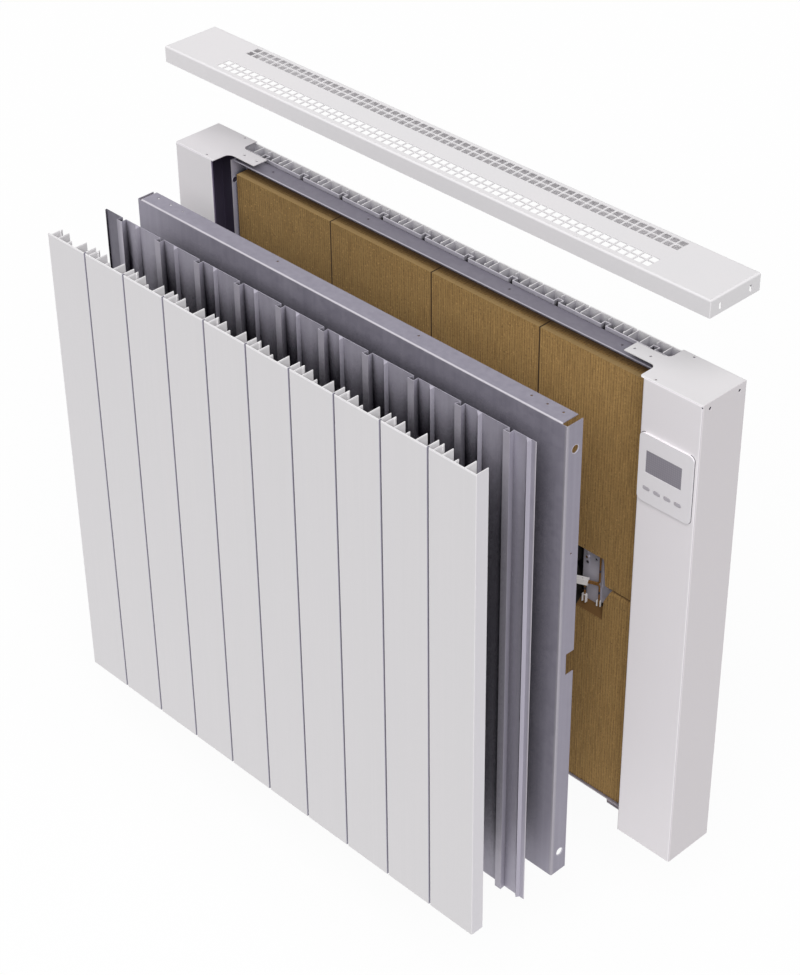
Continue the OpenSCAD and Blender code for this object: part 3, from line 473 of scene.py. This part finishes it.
def storage_brick():
    made, tree, where = new_material("fired_storage_brick")
    east, inward, height = add(tree, "SeparateXYZ", {0: where}).outputs
    in_core = add(tree, "Math", {0: east, 1: CORE_LEFT * MM}, operation="SUBTRACT").outputs[0]
    in_brick = add(tree, "Math", {0: in_core, 1: BRICK_PITCH * MM},
                   operation="FLOORED_MODULO").outputs[0]
    clay, grain = fired_clay(tree, where, east)
    clay = groove_dust_and_shade(tree, where, in_brick, clay)
    # the flat tops are smooth, with painted light along their front edge
    on_top = add(tree, "Math", {0: height, 1: (BRICK_TOP - 0.5 - FIXING_Z) * MM},
                 operation="GREATER_THAN").outputs[0]
    rim = add(tree, "MapRange", {"Value": inward, "From Min": RIM_BACK,
                                 "From Max": RIM_FRONT}).outputs[0]
    rim = add(tree, "Math", {0: rim, 1: on_top}, operation="MULTIPLY").outputs[0]
    clay = add(tree, "Mix", {0: rim, 6: clay, 7: "#9e8255"}, data_type="RGBA").outputs[2]
    # joints between bricks, upright and level
    side = add(tree, "Math", {0: in_brick, 1: BRICK_PITCH * MM / 2},
               operation="SUBTRACT").outputs[0]
    side = add(tree, "Math", {0: side}, operation="ABSOLUTE").outputs[0]
    upright = add(tree, "MapRange", {"Value": side,
                                     "From Min": (BRICK_PITCH / 2 - JOINT_FADE) * MM,
                                     "From Max": (BRICK_PITCH / 2 - JOINT_DARK) * MM}).outputs[0]
    level = add(tree, "Math", {0: height, 1: (BRICK_JOINT - FIXING_Z) * MM, 2: 0.9 * MM},
                operation="COMPARE").outputs[0]
    joint = add(tree, "Math", {0: upright, 1: level}, operation="MAXIMUM").outputs[0]
    clay = add(tree, "Mix", {0: joint, 6: clay, 7: "#2a1b0c"}, data_type="RGBA").outputs[2]
    # painted shade along the core's right end
    clay = tint(tree, where, clay, ((AT_X, place(382, 0, 0), 11.0, "#482c11"),))
    # nooks are in shade, and so are the flat tops further in, under the tray's flange
    nook = add(tree, "AmbientOcclusion", {"Distance": 110 * MM}, samples=8).outputs["AO"]
    in_open = add(tree, "MapRange", {"Value": nook, "From Min": 0.34,
                                     "From Max": 0.74}).outputs[0]
    shelf = add(tree, "MapRange", {"Value": inward, "From Min": RIM_FRONT,
                                   "From Max": SHELF_BACK, "To Min": 1.0,
                                   "To Max": 0.35}).outputs[0]
    shelf = add(tree, "Math", {0: shelf, 1: on_top}, operation="MULTIPLY").outputs[0]
    in_open = add(tree, "Math", {0: in_open, 1: shelf}, operation="MAXIMUM").outputs[0]
    clay = add(tree, "Mix", {0: in_open, 6: "#4a2e12", 7: clay}, data_type="RGBA").outputs[2]
    # painted shade on the window's sill and on its dark side
    for box, tone in ((WINDOW_SILL, "#6b4c26"), (WINDOW_DARK, "#120c07")):
        mask = inside_box(tree, where, *box)
        clay = add(tree, "Mix", {0: mask, 6: clay, 7: tone}, data_type="RGBA").outputs[2]
    sand = add(tree, "Bump", {"Height": grain, "Distance": 0.25 * MM,
                              "Strength": 0.5}).outputs[0]
    shader = add(tree, "BsdfPrincipled", {"Base Color": clay, "Roughness": 0.9, "Normal": sand})
    add(tree, "OutputMaterial", {"Surface": shader.outputs[0]})
    return made


brick = storage_brick()
print("brick:", len(brick.node_tree.nodes), "nodes")

# %% [markdown]
# ## Small parts
# Moulded plastics are told apart by colour, gloss and a fine eroded texture. Zinc plating is a
# thin bright metal coat. Ceramic is white and dry. Sleeving on the leads is woven glass fibre.
# Each could have a material of its own, but they differ only in colours, roughness and grain,
# so one function serves the moulded ones and another the metals.


# %% Moulded plastics
def moulded_plastic(name, first, second, roughness, grain_mm=1.2):
    made, tree, where = new_material(name)
    grain = add(tree, "TexNoise", {"Vector": where, "Scale": METRE / grain_mm,
                                   "Detail": 2.0}).outputs["Fac"]
    cloud = add(tree, "TexNoise", {"Vector": where, "Scale": METRE / 40,
                                   "Detail": 2.0}).outputs["Fac"]
    tone = add(tree, "Mix", {0: cloud, 6: first, 7: second}, data_type="RGBA").outputs[2]
    rough = add(tree, "MapRange", {"Value": grain, "To Min": roughness - 0.06,
                                   "To Max": roughness + 0.08}).outputs[0]
    eroded = add(tree, "Bump", {"Height": grain, "Distance": 0.03 * MM,
                                "Strength": 0.3}).outputs[0]
    shader = add(tree, "BsdfPrincipled", {"Base Color": tone, "Roughness": rough,
                                          "Normal": eroded})
    add(tree, "OutputMaterial", {"Surface": shader.outputs[0]})
    return made


# ABS from spark-eroded moulds: satin and even
control_plastic = moulded_plastic("abs_white_fine_texture", "#ebe8eb", "#e8e5e8", 0.42)
button_plastic = moulded_plastic("abs_grey_buttons", "#bab6bc", "#b4b0b6", 0.45)
# polyamide, tough and a little waxy
terminal_plastic = moulded_plastic("polyamide_cream", "#dcd6c2", "#d6cfba", 0.5)
gland_plastic = moulded_plastic("polyamide_black", "#1d1d1e", "#19191a", 0.48)
# phenolic resin pressed hot: dark brown and glossier
phenolic = moulded_plastic("phenolic_brown", "#52382a", "#493024", 0.42)
# soft extruded rubbers: dull
wire_sleeve = moulded_plastic("silicone_wire_insulation", "#3a3a3d", "#343437", 0.55)
# the dark ring round the control plate is painted shade, standing for the gap's shadow
shadow_ring_rubber = moulded_plastic("neoprene_shadow_ring", "#57545c", "#504d55", 0.8)
# pressed and fired steatite: dry, with a coarser grain
ceramic = moulded_plastic("steatite_ceramic", "#ece8e7", "#e4e0df", 0.7, grain_mm=2.0)
print("ceramic:", len(ceramic.node_tree.nodes), "nodes")


# %% Zinc plate, heating rod and braided sleeve
def streaked_metal(name, first, second, roughness, metallic, spots=()):
    made, tree, where = new_material(name)
    drawn = add(tree, "Mapping", {"Vector": where, "Scale": (1, 1, 0.05)}).outputs[0]
    streaks = add(tree, "TexNoise", {"Vector": drawn, "Scale": METRE / 1.5,
                                     "Detail": 3.0}).outputs["Fac"]
    cloud = add(tree, "TexNoise", {"Vector": where, "Scale": METRE / 18,
                                   "Detail": 2.0}).outputs["Fac"]
    tone = add(tree, "Mix", {0: cloud, 6: first, 7: second}, data_type="RGBA").outputs[2]
    tone = tint(tree, where, tone, spots)
    rough = add(tree, "MapRange", {"Value": streaks, "To Min": roughness - 0.08,
                                   "To Max": roughness + 0.1}).outputs[0]
    lines = add(tree, "Bump", {"Height": streaks, "Distance": 0.01 * MM,
                               "Strength": 0.4}).outputs[0]
    shader = add(tree, "BsdfPrincipled", {"Base Color": tone, "Metallic": metallic,
                                          "Roughness": rough, "Normal": lines})
    add(tree, "OutputMaterial", {"Surface": shader.outputs[0]})
    return made


def braided_sleeve():
    """Crossing threads, drawn coarser than the real weave, with two darker ties."""
    made, tree, where = new_material("glass_fibre_sleeve")
    threads = []
    for side in (-1, 1):
        turned = add(tree, "Mapping", {"Vector": where, "Rotation": (0, 0.7 * side, 0)}).outputs[0]
        wave = add(tree, "TexWave", {"Vector": turned, "Scale": METRE / 1.2 / 6.28,
                                     "Distortion": 0.6}, bands_direction="Z")
        threads.append(wave.outputs["Fac"])
    crossing = add(tree, "Math", {0: threads[0], 1: threads[1]}, operation="MAXIMUM").outputs[0]
    tone = add(tree, "Mix", {0: crossing, 6: "#553812", 7: "#835a24"},
               data_type="RGBA").outputs[2]
    tone = tint(tree, where, tone, [(AT_Z, place(0, 0, z), 2.6, "#33313c") for z in (335, 371)])
    woven = add(tree, "Bump", {"Height": crossing, "Distance": 0.15 * MM,
                               "Strength": 0.8}).outputs[0]
    shader = add(tree, "BsdfPrincipled", {"Base Color": tone, "Roughness": 0.85,
                                          "Normal": woven})
    add(tree, "OutputMaterial", {"Surface": shader.outputs[0]})
    return made


# plated in a bath: bright, cool and streaky; in the window a brown lead, a pin's painted highlight
# and a hole's painted shade
zinc_plate = streaked_metal("zinc_plated_steel", "#c9c6d0", "#bebbc6", 0.4, 0.4,
                            ((ALONG_Y, place(WINDOW_X - 9, 0, 391), 3.6, "#f4f2f5"),
                             (ALONG_Y, place(WINDOW_X - 10, 0, 374), 3.0, "#34313b"),
                             (ALONG_Y, place(WINDOW_X - 10, 0, 383), 2.4, "#6e4b1c")))
# drawn tube that has glowed in air: a dark oxide skin
rod_sheath = streaked_metal("oxidised_nickel_alloy_sheath", "#5a5250", "#4b4544", 0.5, 1.0)
lead_sleeve = braided_sleeve()
print("sleeve:", len(lead_sleeve.node_tree.nodes), "nodes")


# %% Circuit board and display window
def circuit_board():
    """Glass fibre and resin under green lacquer, with paler tracks 12 mm apart."""
    made, tree, where = new_material("glass_epoxy_green_resist")
    tracks = add(tree, "TexBrick", {"Vector": where, "Scale": METRE / 12, "Mortar Size": 0.03,
                                    "Color1": "#1f5a34", "Color2": "#1c5230",
                                    "Mortar": "#3d7a4a"}).outputs[0]
    shader = add(tree, "BsdfPrincipled", {"Base Color": tracks, "Roughness": 0.35})
    add(tree, "OutputMaterial", {"Surface": shader.outputs[0]})
    return made


def display_window():
    """Clear cover over a grey liquid crystal with its cells 3.2 mm apart, switched off."""
    made, tree, where = new_material("liquid_crystal_window")
    cells = add(tree, "TexVoronoi", {"Vector": where, "Scale": METRE / 3.2, "Randomness": 0.0},
                distance="CHEBYCHEV").outputs["Distance"]
    fade = add(tree, "TexNoise", {"Vector": where, "Scale": METRE / 60}).outputs["Fac"]
    tone = add(tree, "Mix", {0: fade, 6: "#918d96", 7: "#9d9aa2"}, data_type="RGBA").outputs[2]
    tone = marked(tree, tone, ((cells, 0.3, 0.45, 0.5, "#7f7b84"),))
    shader = add(tree, "BsdfPrincipled", {"Base Color": tone, "Roughness": 0.3,
                                          "Coat Weight": 0.3, "Coat Roughness": 0.1})
    add(tree, "OutputMaterial", {"Surface": shader.outputs[0]})
    return made


finishes = {"casing": casing, "section_paint": section_paint, "galvanised": galvanised,
            "storage_brick": brick, "rod_sheath": rod_sheath, "lead_sleeve": lead_sleeve,
            "ceramic": ceramic, "zinc_plate": zinc_plate, "control_plastic": control_plastic,
            "display_screen": display_window(), "button_plastic": button_plastic,
            "circuit_board": circuit_board(), "terminal_plastic": terminal_plastic,
            "phenolic": phenolic, "wire_sleeve": wire_sleeve, "gland_plastic": gland_plastic}
print(len(finishes), "finishes")

# %% [markdown]
# ## Dressing the CAD nodes
# The imported record says which finish each node takes, so a loop can put them on. Some nodes
# need a variant: the columns get painted shade inside, the last section has no neighbour on its
# right, and the front tray and the ribbed sheet have their own painted highlights and shade.


# %% Finishes on the CAD nodes
def dress(piece, paint):
    piece.data.materials.clear()
    piece.data.materials.append(paint)


variants = {"left_column": left_casing, "right_column": right_casing, "front_tray": folded_tray,
            "front_section_10": end_section_paint, "front_rib_sheet": ribbed}
for part in frame["record"]["subparts"]:
    name = part["node"]
    rear = name.startswith("rear_section")
    paint = rear_section_paint if rear else finishes[part["material_slot"]]
    dress(nodes[name], variants.get(name, paint))

# %% [markdown]
# ## Modelling helpers
# New pieces are modelled in the heater's millimetres, as by hand: a primitive, shaped in edit
# mode, with points picked by where they are. At the end one helper brings the piece to metres
# at its place in the frame, gives it its finish and lets it ride on its body.

# %% Start, pick and settle


def start(kind, name, at, stretch, turn=(0, 0, 0), **settings):
    """A primitive, stretched and put at its place, in edit mode."""
    bpy.ops.object.select_all(action="DESELECT")
    getattr(bpy.ops.mesh, f"primitive_{kind}_add")(location=at, rotation=turn, **settings)
    piece = bpy.context.active_object
    piece.name = name
    piece.scale = stretch
    bpy.ops.object.transform_apply(location=True, rotation=True, scale=True)
    bpy.ops.object.mode_set(mode="EDIT")
    return piece


def pick(piece, test, faces=False):
    """Selects the points (or faces, by their middle) for which test(place) holds."""
    bpy.ops.mesh.select_mode(type="FACE" if faces else "VERT")
    bpy.ops.mesh.select_all(action="DESELECT")
    shape = bmesh.from_edit_mesh(piece.data)
    for item in shape.faces if faces else shape.verts:
        item.select_set(test(item.calc_center_median() if faces else item.co))
    shape.select_flush(True)
    bmesh.update_edit_mesh(piece.data)


def extrude_by(x, y, z):
    bpy.ops.mesh.extrude_region_move(TRANSFORM_OT_translate={"value": (x, y, z)})


def take(piece):
    """Selects one piece alone, as the active one."""
    bpy.ops.object.select_all(action="DESELECT")
    piece.select_set(True)
    bpy.context.view_layer.objects.active = piece


def modify(piece, kind, **settings):
    bpy.ops.object.mode_set(mode="OBJECT")
    modifier = piece.modifiers.new(kind.lower(), kind)
    for name, value in settings.items():
        setattr(modifier, name, value)
    bpy.ops.object.modifier_apply(modifier=modifier.name)


def settle(piece, paint, body, forward=0.0, smooth=30.0):
    """Millimetres to metres at the piece's place, then its finish and body."""
    take(piece)
    piece.scale = (MM, MM, MM)
    piece.location = place(0, 0, 0, forward)
    bpy.ops.object.transform_apply(location=True, rotation=True, scale=True)
    bpy.ops.object.shade_smooth_by_angle(angle=math.radians(smooth))
    dress(piece, paint)
    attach(piece, body)


print("helpers ready")

# %% [markdown]
# ## Grooved faces of the bricks
# Each brick's front has 45 upright grooves. They run on over the flat top of an upper brick,
# and over the rounded top edge of a lower one. A bump would leave the meshes flat, so they are
# modelled. A flat grid has a row of points for every groove. Those points are pushed in, the
# top edge is extruded back or spun round the nose, and the open skin gets a thickness, so
# that it lies as a thin closed shell on the brick. One skin is modelled for each row and
# copied along it. The last column of bricks has the window cut out.

# %% One brick's skin
FACE_Y, NOSE_Y, TOP_DEPTH = -4.0, 8.0, 21.0
UPPER, LOWER = (361.1, BRICK_TOP), (2.4, 349.0)
GROOVE_DEPTH, THIRD_DEEPER, SKIN = 0.35, 0.1, 0.25


def brick_skin(upper):
    """The skin of the first brick in a row, with three columns of points to a groove."""
    low, high = UPPER if upper else LOWER
    width, left = GROOVES * GROOVE_PITCH, CORE_LEFT + FACE_INSET
    step = width / (3 * GROOVES)
    piece = start("grid", "brick_face", (left + width / 2, FACE_Y, (low + high) / 2),
                  (width, high - low, 1), (math.pi / 2, 0, 0),
                  x_subdivisions=3 * GROOVES, y_subdivisions=1, size=1)
    for every, depth in ((3, GROOVE_DEPTH), (9, THIRD_DEEPER)):
        pick(piece, lambda p: round((p.x - left) / step) % every == 0)
        bpy.ops.transform.translate(value=(0, depth, 0))
    pick(piece, lambda p: p.z > high - 0.1)
    if upper:
        extrude_by(0, TOP_DEPTH, 0)
        pick(piece, lambda p: p.z > high - 0.1 and round((p.x - left) / step) % 3 == 0)
        bpy.ops.transform.translate(value=(0, 0, -GROOVE_DEPTH))
    else:
        bpy.ops.mesh.spin(steps=10, angle=math.pi / 2, center=(0, NOSE_Y, high), axis=(1, 0, 0))
    bpy.ops.mesh.select_all(action="SELECT")
    bpy.ops.mesh.normals_make_consistent(inside=False)
    front = bmesh.from_edit_mesh(piece.data).faces
    if sum(f.normal.y * f.calc_area() for f in front) > 0:
        bpy.ops.mesh.flip_normals()
    modify(piece, "SOLIDIFY", thickness=SKIN, offset=-1)
    return piece


def further_along(skin, column):
    """The same skin with a mesh of its own, so many bricks to the right."""
    twin = skin.copy()
    twin.data = skin.data.copy()
    twin.data.transform(Matrix.Translation((column * BRICK_PITCH, 0, 0)))
    bpy.context.scene.collection.objects.link(twin)
    return twin


skins = []
for upper in (True, False):
    first = brick_skin(upper)
    skins += [first, *[further_along(first, column) for column in (1, 2, 3)]]
for number, skin in enumerate(skins, 1):
    skin.name = f"brick_face_{number}"
print("skins", len(skins), "of", len(skins[0].data.polygons), "faces")


# %% Cut the window out of the last column
def window_cutter(name, outline):
    """A block with the window's outline, as heights and half widths from the bottom up."""
    (base, foot), (high, _) = outline[:2]
    cutter = start("cube", name, (WINDOW_X, 0, (base + high) / 2), (foot, 20, (high - base) / 2),
                   size=2)
    for (low, half), (high, next_half) in zip(outline, outline[1:]):
        if low > base:
            pick(cutter, lambda p: p.z > low - 1, faces=True)
            extrude_by(0, 0, high - low)
        for side in (-1, 1):
            pick(cutter, lambda p: p.z > high - 1 and (p.x - WINDOW_X) * side > 0)
            bpy.ops.transform.translate(value=(side * (next_half - half), 0, 0))
    bpy.ops.object.mode_set(mode="OBJECT")
    return cutter


upper_cut = window_cutter("window_cutter_upper", ((355.0, 32.3), (403.0, 27.0)))
lower_cut = window_cutter("window_cutter_lower", ((302.5, 28.0), (335.0, 30.0), (362.0, 43.5)))
for skin, cutter in ((skins[3], upper_cut), (skins[7], lower_cut)):
    take(skin)
    modify(skin, "BOOLEAN", operation="DIFFERENCE", object=cutter, solver="EXACT")
    bpy.data.objects.remove(cutter)
for skin in skins:
    settle(skin, brick, "heater_body", smooth=10.5)
print("window cut; last skin has", len(skins[7].data.polygons), "faces")

# %% [markdown]
# ## Flat tops for the upper bricks
# The picture shows the upper bricks' tops flat and level with the end of their faces, where
# the CAD has a rounded nose that stands higher. A copy of each stands for the node: its loose
# triangles are merged, and one bisect cuts it level under the skin and fills the cut.


# %% Upper bricks, cut level
def merged_copy(node, ending):
    """A copy of a CAD node's mesh with its triangles merged, in edit mode, all selected."""
    piece = bpy.data.objects.new(node + ending, nodes[node].data.copy())
    bpy.context.scene.collection.objects.link(piece)
    take(piece)
    bpy.ops.object.mode_set(mode="EDIT")
    bpy.ops.mesh.select_all(action="SELECT")
    bpy.ops.mesh.remove_doubles(threshold=0.01 * MM)
    return piece


def stand_for(piece, node, body):
    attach(piece, body)
    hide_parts(node)


UNDER_SKIN = 0.7
level_bricks = []
for i in range(1, 5):
    level_brick = merged_copy(f"brick_{i}", "_level")
    bpy.ops.mesh.bisect(plane_co=place(0, 0, BRICK_TOP - UNDER_SKIN), plane_no=(0, 0, 1),
                        use_fill=True, clear_outer=True)
    bpy.ops.object.mode_set(mode="OBJECT")
    stand_for(level_brick, f"brick_{i}", "heater_body")
    level_bricks.append(level_brick)
print("level bricks", [len(b.data.polygons) for b in level_bricks], "faces")

# %% [markdown]
# ## Rear ribbed sheet, drawn up
# Behind the rear tray's flange the picture shows a pale strip with a dark notch at each deep
# rib: the rear ribbed sheet, which ends as high as the front one. The CAD stops it level with
# the tray, so a copy has its top edge moved up.

# %% Taller rear sheet
tall_sheet = merged_copy("rear_rib_sheet", "_tall")
sheet_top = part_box("rear_rib_sheet")[1].z
pick(tall_sheet, lambda p: p.z > sheet_top - 0.1 * MM)
bpy.ops.transform.translate(value=(0, 0, sheet_high.z - sheet_top))
bpy.ops.object.mode_set(mode="OBJECT")
dress(tall_sheet, rear_ribbed)
stand_for(tall_sheet, "rear_rib_sheet", "heater_body")
print("drawn up by", round((sheet_high.z - sheet_top) / MM, 2), "mm")

# %% [markdown]
# ## Sheet behind the window
# The plate that holds the rods' ends goes on behind the window's slanted right side, where it
# shows as a light grey point. It is a thin flat piece: a plane whose points are moved out to
# the window's outline, with a little to spare behind the bricks.

# %% The plate's wing
wing = start("plane", "element_plate_wing", (WINDOW_X + 24, 9.6, 361), (20, 84, 1),
             (math.pi / 2, 0, 0), size=1)
pick(wing, lambda p: p.x > WINDOW_X + 30)
bpy.ops.mesh.subdivide(number_cuts=2)
for z, shift in ((403, -4), (375, 9), (347, 8), (319, -3)):
    pick(wing, lambda p: p.x > WINDOW_X + 30 and abs(p.z - z) < 1)
    bpy.ops.transform.translate(value=(shift, 0, 0))
modify(wing, "SOLIDIFY", thickness=0.5, offset=0)
corners = {(round(v.co.x - WINDOW_X, 1), round(v.co.z, 1)) for v in wing.data.vertices}
print("wing corners", sorted(corners))
settle(wing, zinc_plate, "heater_body")

# %% [markdown]
# ## Collars in the trays' side holes
# A punch turns the edge of a hole over to a short rolled collar, which catches the light. Each
# is a ring of edges, drawn in to the hole's size and then along its axis, with a thin wall. It
# stays within the flange, because the front tray slides over the rear one.

# %% Drawn collars
LIP, ROLL_START, COLLAR_DEPTH, COLLAR_WALL = 0.7, 0.15, 0.75, 0.3


def hole_collar(name, x, y, z, radius, inward, body, forward=0.0):
    outer = radius + LIP
    piece = start("circle", name, (x, y, z), (1, 1, 1), (0, math.pi / 2, 0), vertices=40,
                  radius=outer)
    pick(piece, lambda p: True)
    extrude_by(ROLL_START * inward, 0, 0)
    bpy.ops.transform.resize(value=(1, radius / outer, radius / outer), center_override=(x, y, z))
    extrude_by(COLLAR_DEPTH * inward, 0, 0)
    bpy.ops.mesh.select_all(action="SELECT")
    bpy.ops.mesh.normals_make_consistent(inside=False)
    modify(piece, "SOLIDIFY", thickness=COLLAR_WALL, offset=0)
    settle(piece, zinc_plate, body, forward)
    return piece


collars = [hole_collar(f"tray_collar_{side}_{level}", x, -4.1, z, 5.7, inward, "front_tray",
                       TRAY_OUT)
           for side, x, inward in (("right", 388.5, -1), ("left", -404.5, 1))
           for level, z in (("low", 37), ("high", 692))]
collars.append(hole_collar("rear_tray_collar", -401.9, -2.3, 695, 4.4, -1, "heater_body"))
print("collars", len(collars), "of", len(collars[0].data.polygons), "faces")

# %% [markdown]
# ## Softer edges on the controls
# The control plate and its buttons are moulded, so their edges are rounded. Each CAD mesh is
# copied, its loose triangles are merged and flattened into whole faces, and a Bevel rounds
# every sharp edge. Weighted normals then let the large faces decide the shading, so that they
# stay flat right up to the rounding. The copy stands for the node. A thin dark rubber ring
# between the plate and the column is painted shade, standing for the shadow in the gap there.


# %% Moulded copies of the control plate and the buttons
def rounded_copy(node, width_mm, paint, body):
    piece = merged_copy(node, "_moulded")
    bpy.ops.mesh.dissolve_limited(angle_limit=math.radians(1))
    modify(piece, "BEVEL", width=width_mm * MM, segments=2, limit_method="ANGLE",
           angle_limit=math.radians(50))
    bpy.ops.object.shade_smooth_by_angle(angle=math.radians(30))
    modify(piece, "WEIGHTED_NORMAL", keep_sharp=True)
    dress(piece, paint)
    stand_for(piece, node, body)
    return piece


plate = rounded_copy("control_bezel", 0.7, control_plastic, "heater_body")
buttons = [rounded_copy(f"button_{i}", 0.35, button_plastic, f"button_{i}")
           for i in range(1, 5)]

# %% Dark rubber ring under the control plate, painted shade for the gap
RING_SHOWS, RING_CORNER, RING_WIDTH = 1.3, 7.6, 2.2
plate_low, plate_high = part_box("control_bezel")
ring_w, ring_h = [(plate_high[i] - plate_low[i]) / MM + RING_SHOWS for i in (0, 2)]
middle = ((plate_low.x + plate_high.x) / 2 / MM, -41.6,
          (plate_low.z + plate_high.z) / 2 / MM + FIXING_Z)
ring = start("plane", "control_plate_shadow_ring", middle, (ring_w, ring_h, 1), (math.pi / 2, 0, 0), size=1)
pick(ring, lambda p: True)
bpy.ops.mesh.bevel(offset=RING_CORNER, segments=8, affect="VERTICES")
pick(ring, lambda p: True, faces=True)
bpy.ops.mesh.inset(thickness=RING_WIDTH)
pick(ring, lambda p: abs(p.x - middle[0]) < 1, faces=True)
bpy.ops.mesh.delete(type="FACE")
modify(ring, "SOLIDIFY", thickness=0.45, offset=0)
settle(ring, shadow_ring_rubber, "heater_body")
print("control plate", len(plate.data.polygons), "faces; buttons", len(buttons[0].data.polygons))

# %% [markdown]
# ## Floor, backdrop and light
# The heater hangs on a wall, so the floor is well below it. The picture's ground is plain
# white: the floor and the world show white to the camera, while the floor still takes the
# heater's shadow. The light comes from one large soft box above the camera's right shoulder,
# so faces stay even and the slits and the spaces between the layers go dark. For light that
# bounces, the floor is a duller grey, as a floor some way off would be.

# %% Floor
FLOOR_DROP, FLOOR_RADIUS = 0.16, 14


def seen_directly(tree):
    """1 for the camera and for what it sees in metal and glass, 0 for light that bounces."""
    paths = add(tree, "LightPath").outputs
    seen = paths["Is Camera Ray"]
    for other in ("Is Glossy Ray", "Is Transmission Ray"):
        seen = add(tree, "Math", {0: seen, 1: paths[other]}, operation="MAXIMUM").outputs[0]
    return seen


bpy.ops.object.select_all(action="DESELECT")
bpy.ops.mesh.primitive_circle_add(vertices=64, radius=FLOOR_RADIUS, fill_type="NGON",
                                  location=(0, 0, cad_low.z - FLOOR_DROP))
floor = bpy.context.active_object
floor.name = "studio_floor"
bpy.ops.object.transform_apply()
floor_paint, tree, where = new_material("studio_floor_paint")
seen = seen_directly(tree)
share = add(tree, "Math", {0: seen, 1: 0.94}, operation="MULTIPLY").outputs[0]
wash = add(tree, "TexNoise", {"Vector": where, "Scale": METRE / 400}).outputs["Fac"]
pale = add(tree, "Mix", {0: wash, 6: "#f4f4f5", 7: "#f2f2f3"}, data_type="RGBA").outputs[2]
ground = add(tree, "Mix", {0: seen, 6: "#9b9b9c", 7: pale}, data_type="RGBA").outputs[2]
matt = add(tree, "BsdfDiffuse", {"Color": ground})
white = add(tree, "Emission", {"Color": "#ffffff", "Strength": 1.0})
both = add(tree, "MixShader", {0: share, 1: matt.outputs[0], 2: white.outputs[0]})
add(tree, "OutputMaterial", {"Surface": both.outputs[0]})
floor.data.materials.append(floor_paint)
print("floor at z", round(cad_low.z - FLOOR_DROP, 3))

# %% World and lamp
WORLD_LIGHT = 0.3
KEY_STRENGTH, KEY_SPREAD = 3.14, 50
TOWARDS_KEY = Vector((0.467, -0.546, 0.695))
world = bpy.data.worlds.new("studio")
bpy.context.scene.world = world
world.use_nodes = True
tree = world.node_tree
tree.nodes.clear()
strength = add(tree, "MapRange", {"Value": seen_directly(tree), "To Min": WORLD_LIGHT,
                                  "To Max": 1.0}).outputs[0]
sky = add(tree, "Background", {"Color": "#ffffff", "Strength": strength})
add(tree, "OutputWorld", {"Surface": sky.outputs[0]})

key = bpy.data.lights.new("key_softbox", "SUN")
key.energy = KEY_STRENGTH
key.angle = math.radians(KEY_SPREAD)
lamp = bpy.data.objects.new("key_softbox", key)
bpy.context.scene.collection.objects.link(lamp)
lamp.rotation_euler = TOWARDS_KEY.to_track_quat("Z", "Y").to_euler()
print("key light of", round(key.energy, 2), "over the world's", WORLD_LIGHT)
